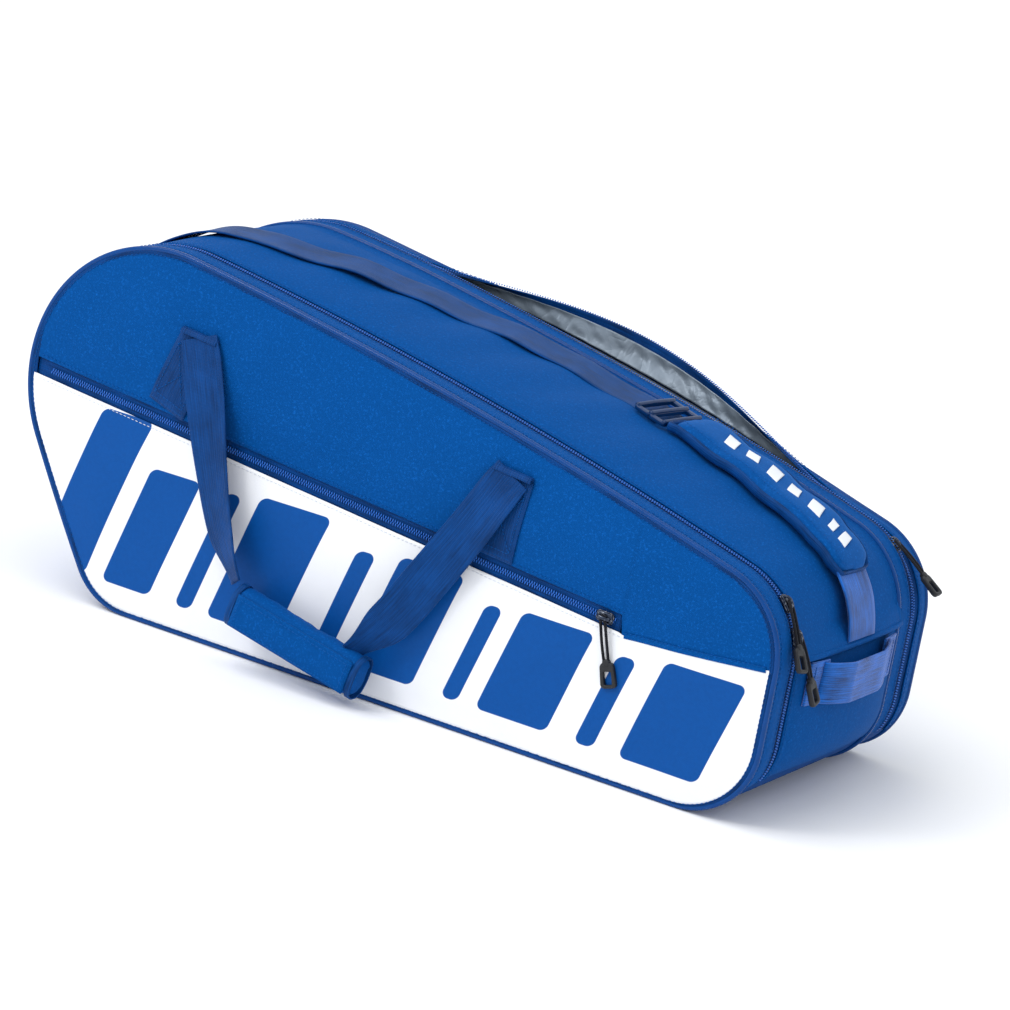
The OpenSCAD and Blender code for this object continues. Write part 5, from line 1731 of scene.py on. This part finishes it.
class RACKETBAG_OT_sliders(PieceOperator):
    """Makes the four zip sliders with their cords and rubber pull tabs"""
    bl_idname = "racketbag.sliders"
    bl_label = "Zip sliders and pulls"

    BAIL = 0.0046

    def build(self):
        centre = self.bag.shoulder
        for name in ("upper", "lower", "rear"):
            pin = joint_place(name + "_pull_hinge")
            normal = unit(np.array([pin[0] - centre[0], 0, pin[2] - centre[1]]))
            self.slider(name, pin, normal, np.cross((0, 1.0, 0), normal))
            self.pull(name, pin, normal)
        pin = joint_place("pocket_pull_hinge")
        normal = FRONTWARD
        self.slider("pocket", pin, normal, ZIP_WAY)
        self.pull("pocket", pin, normal)

    def slider(self, name, pin, normal, along):
        """Slider body: a waisted plate with raised flanges, and a bail over it."""
        across = np.cross(normal, along)
        middle = pin - normal * self.BAIL
        outline = rounded_box_ring(0.0165, 0.0100, 0.0034, 8)
        waist = np.exp(-((outline[:, 0] + 0.0015) / 0.0035) ** 2)
        outline[:, 1] *= 1 - 0.16 * waist + 0.06 * (outline[:, 0] > 0.002)
        base = round_off(solid_plate("plate", outline, 0.0014), 0.0004, 2)
        top = round_off(solid_plate("plate", outline * np.array([0.92, 0.86]), 0.0030), 0.0009, 3)
        a = np.linspace(0, math.pi, 18)
        path = np.column_stack([-0.0056 * np.cos(a), np.zeros_like(a), 0.0022 + 0.0040 * np.sin(a) ** 0.8])
        bail = swept("bail", path, (0, 1.0, 0), round_profile(0.0011, 10) * np.array([1.45, 1]))
        made = joined(name + "_slider_body", [base, top, bail])
        set_in(made, middle - normal * 0.0006, along, across, normal)
        dress(made, name + "_slider", "slider_metal", "metal", name + "_slider")

    def pull(self, name, pin, normal):
        """Two strands of cord from the bail to a rubber tab with a window."""
        tab_mid = (low(name + "_pull_tab") + high(name + "_pull_tab")) / 2
        way = unit(tab_mid - pin)
        out = unit(normal - way * np.dot(normal, way))
        side = np.cross(out, way)
        reach = float(np.linalg.norm(tab_mid - pin))
        a = np.linspace(math.pi * 0.5, math.pi * 1.5, 9)
        start = np.column_stack([0.0019 * np.cos(a), 0.0019 * np.sin(a)])
        run = np.linspace(0, 1, 12)[1:]
        upper = np.column_stack([run * (reach - 0.006), -0.0019 - 0.0004 * np.sin(math.pi * run)])
        lower = np.column_stack([run * (reach - 0.006), 0.0019 + 0.0004 * np.sin(math.pi * run)])
        flat = np.vstack([lower[::-1], start, upper])
        rise = 0.0012 * np.sin(math.pi * np.clip(flat[:, 0] / reach, 0, 1))
        path = pin + way * flat[:, :1] + side * flat[:, 1:] + out * rise[:, None]
        cord = swept(name + "_pull_cord_loop", path, out * np.ones((len(path), 1)), round_profile(0.0013, 8))
        dress(cord, name + "_pull", "pull_cord", "cord", name + "_pull_cord")
        outer = rounded_box_ring(0.0215, 0.0145, 0.0036, 8)
        outer[:, 1] *= 1 - 0.16 * np.clip(-outer[:, 0] / 0.0105, 0, 1)
        window = rounded_box_ring(0.0110, 0.0072, 0.0014, 8) + np.array([0.0022, 0])
        tab = round_off(framed_plate(name + "_pull_tab_rubber", outer, window, 0.0044), 0.0012, 3)
        collar = rounded_box_ring(0.006, 0.0066, 0.0024, 8) + np.array([-0.0105, 0])
        neck = round_off(solid_plate("neck", collar, 0.0050), 0.0012, 3)
        made = joined(name + "_pull_tab_rubber", [tab, neck])
        set_in(made, tab_mid - out * 0.0022, way, side, out)
        dress(made, name + "_pull", "pull_plastic", "rubber", name + "_pull_tab")


PIECE_STEPS = ("stage", "materials", "gusset", "piping", "zips", "front",
               "rear", "handles", "strap", "grab_handle", "sliders")


class RACKETBAG_PT_pieces(bpy.types.Panel):
    """Lists the pieces and the sizes and colours they are made to"""
    bl_idname = "RACKETBAG_PT_pieces"
    bl_label = "Racket bag"
    bl_space_type = "VIEW_3D"
    bl_region_type = "UI"
    bl_category = "Racket bag"

    def draw(self, context):
        layout, scene = self.layout, context.scene
        for step in PIECE_STEPS:
            layout.operator("racketbag." + step)
        for group in (scene.bag_shape, scene.bag_fittings, scene.bag_colours):
            box = layout.box()
            for name in group.bl_rna.properties.keys():
                if name not in ("rna_type", "name"):
                    box.prop(group, name)


CLASSES = (BagShape, BagFittings, BagColours, RACKETBAG_OT_stage, RACKETBAG_OT_materials, RACKETBAG_OT_gusset,
           RACKETBAG_OT_piping, RACKETBAG_OT_zips, RACKETBAG_OT_front, RACKETBAG_OT_rear, RACKETBAG_OT_handles,
           RACKETBAG_OT_strap, RACKETBAG_OT_grab_handle, RACKETBAG_OT_sliders, RACKETBAG_PT_pieces)


def register():
    """Adds the classes and the settings to the scene."""
    for item in CLASSES:
        bpy.utils.register_class(item)
    bpy.types.Scene.bag_shape = PointerProperty(type=BagShape)
    bpy.types.Scene.bag_fittings = PointerProperty(type=BagFittings)
    bpy.types.Scene.bag_colours = PointerProperty(type=BagColours)


def unregister():
    """Takes them out again."""
    for name in ("bag_shape", "bag_fittings", "bag_colours"):
        delattr(bpy.types.Scene, name)
    for item in reversed(CLASSES):
        bpy.utils.unregister_class(item)


def main():
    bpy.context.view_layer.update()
    register()
    for step in PIECE_STEPS:
        getattr(bpy.ops.racketbag, step)()


if __name__ == "__main__":
    main()
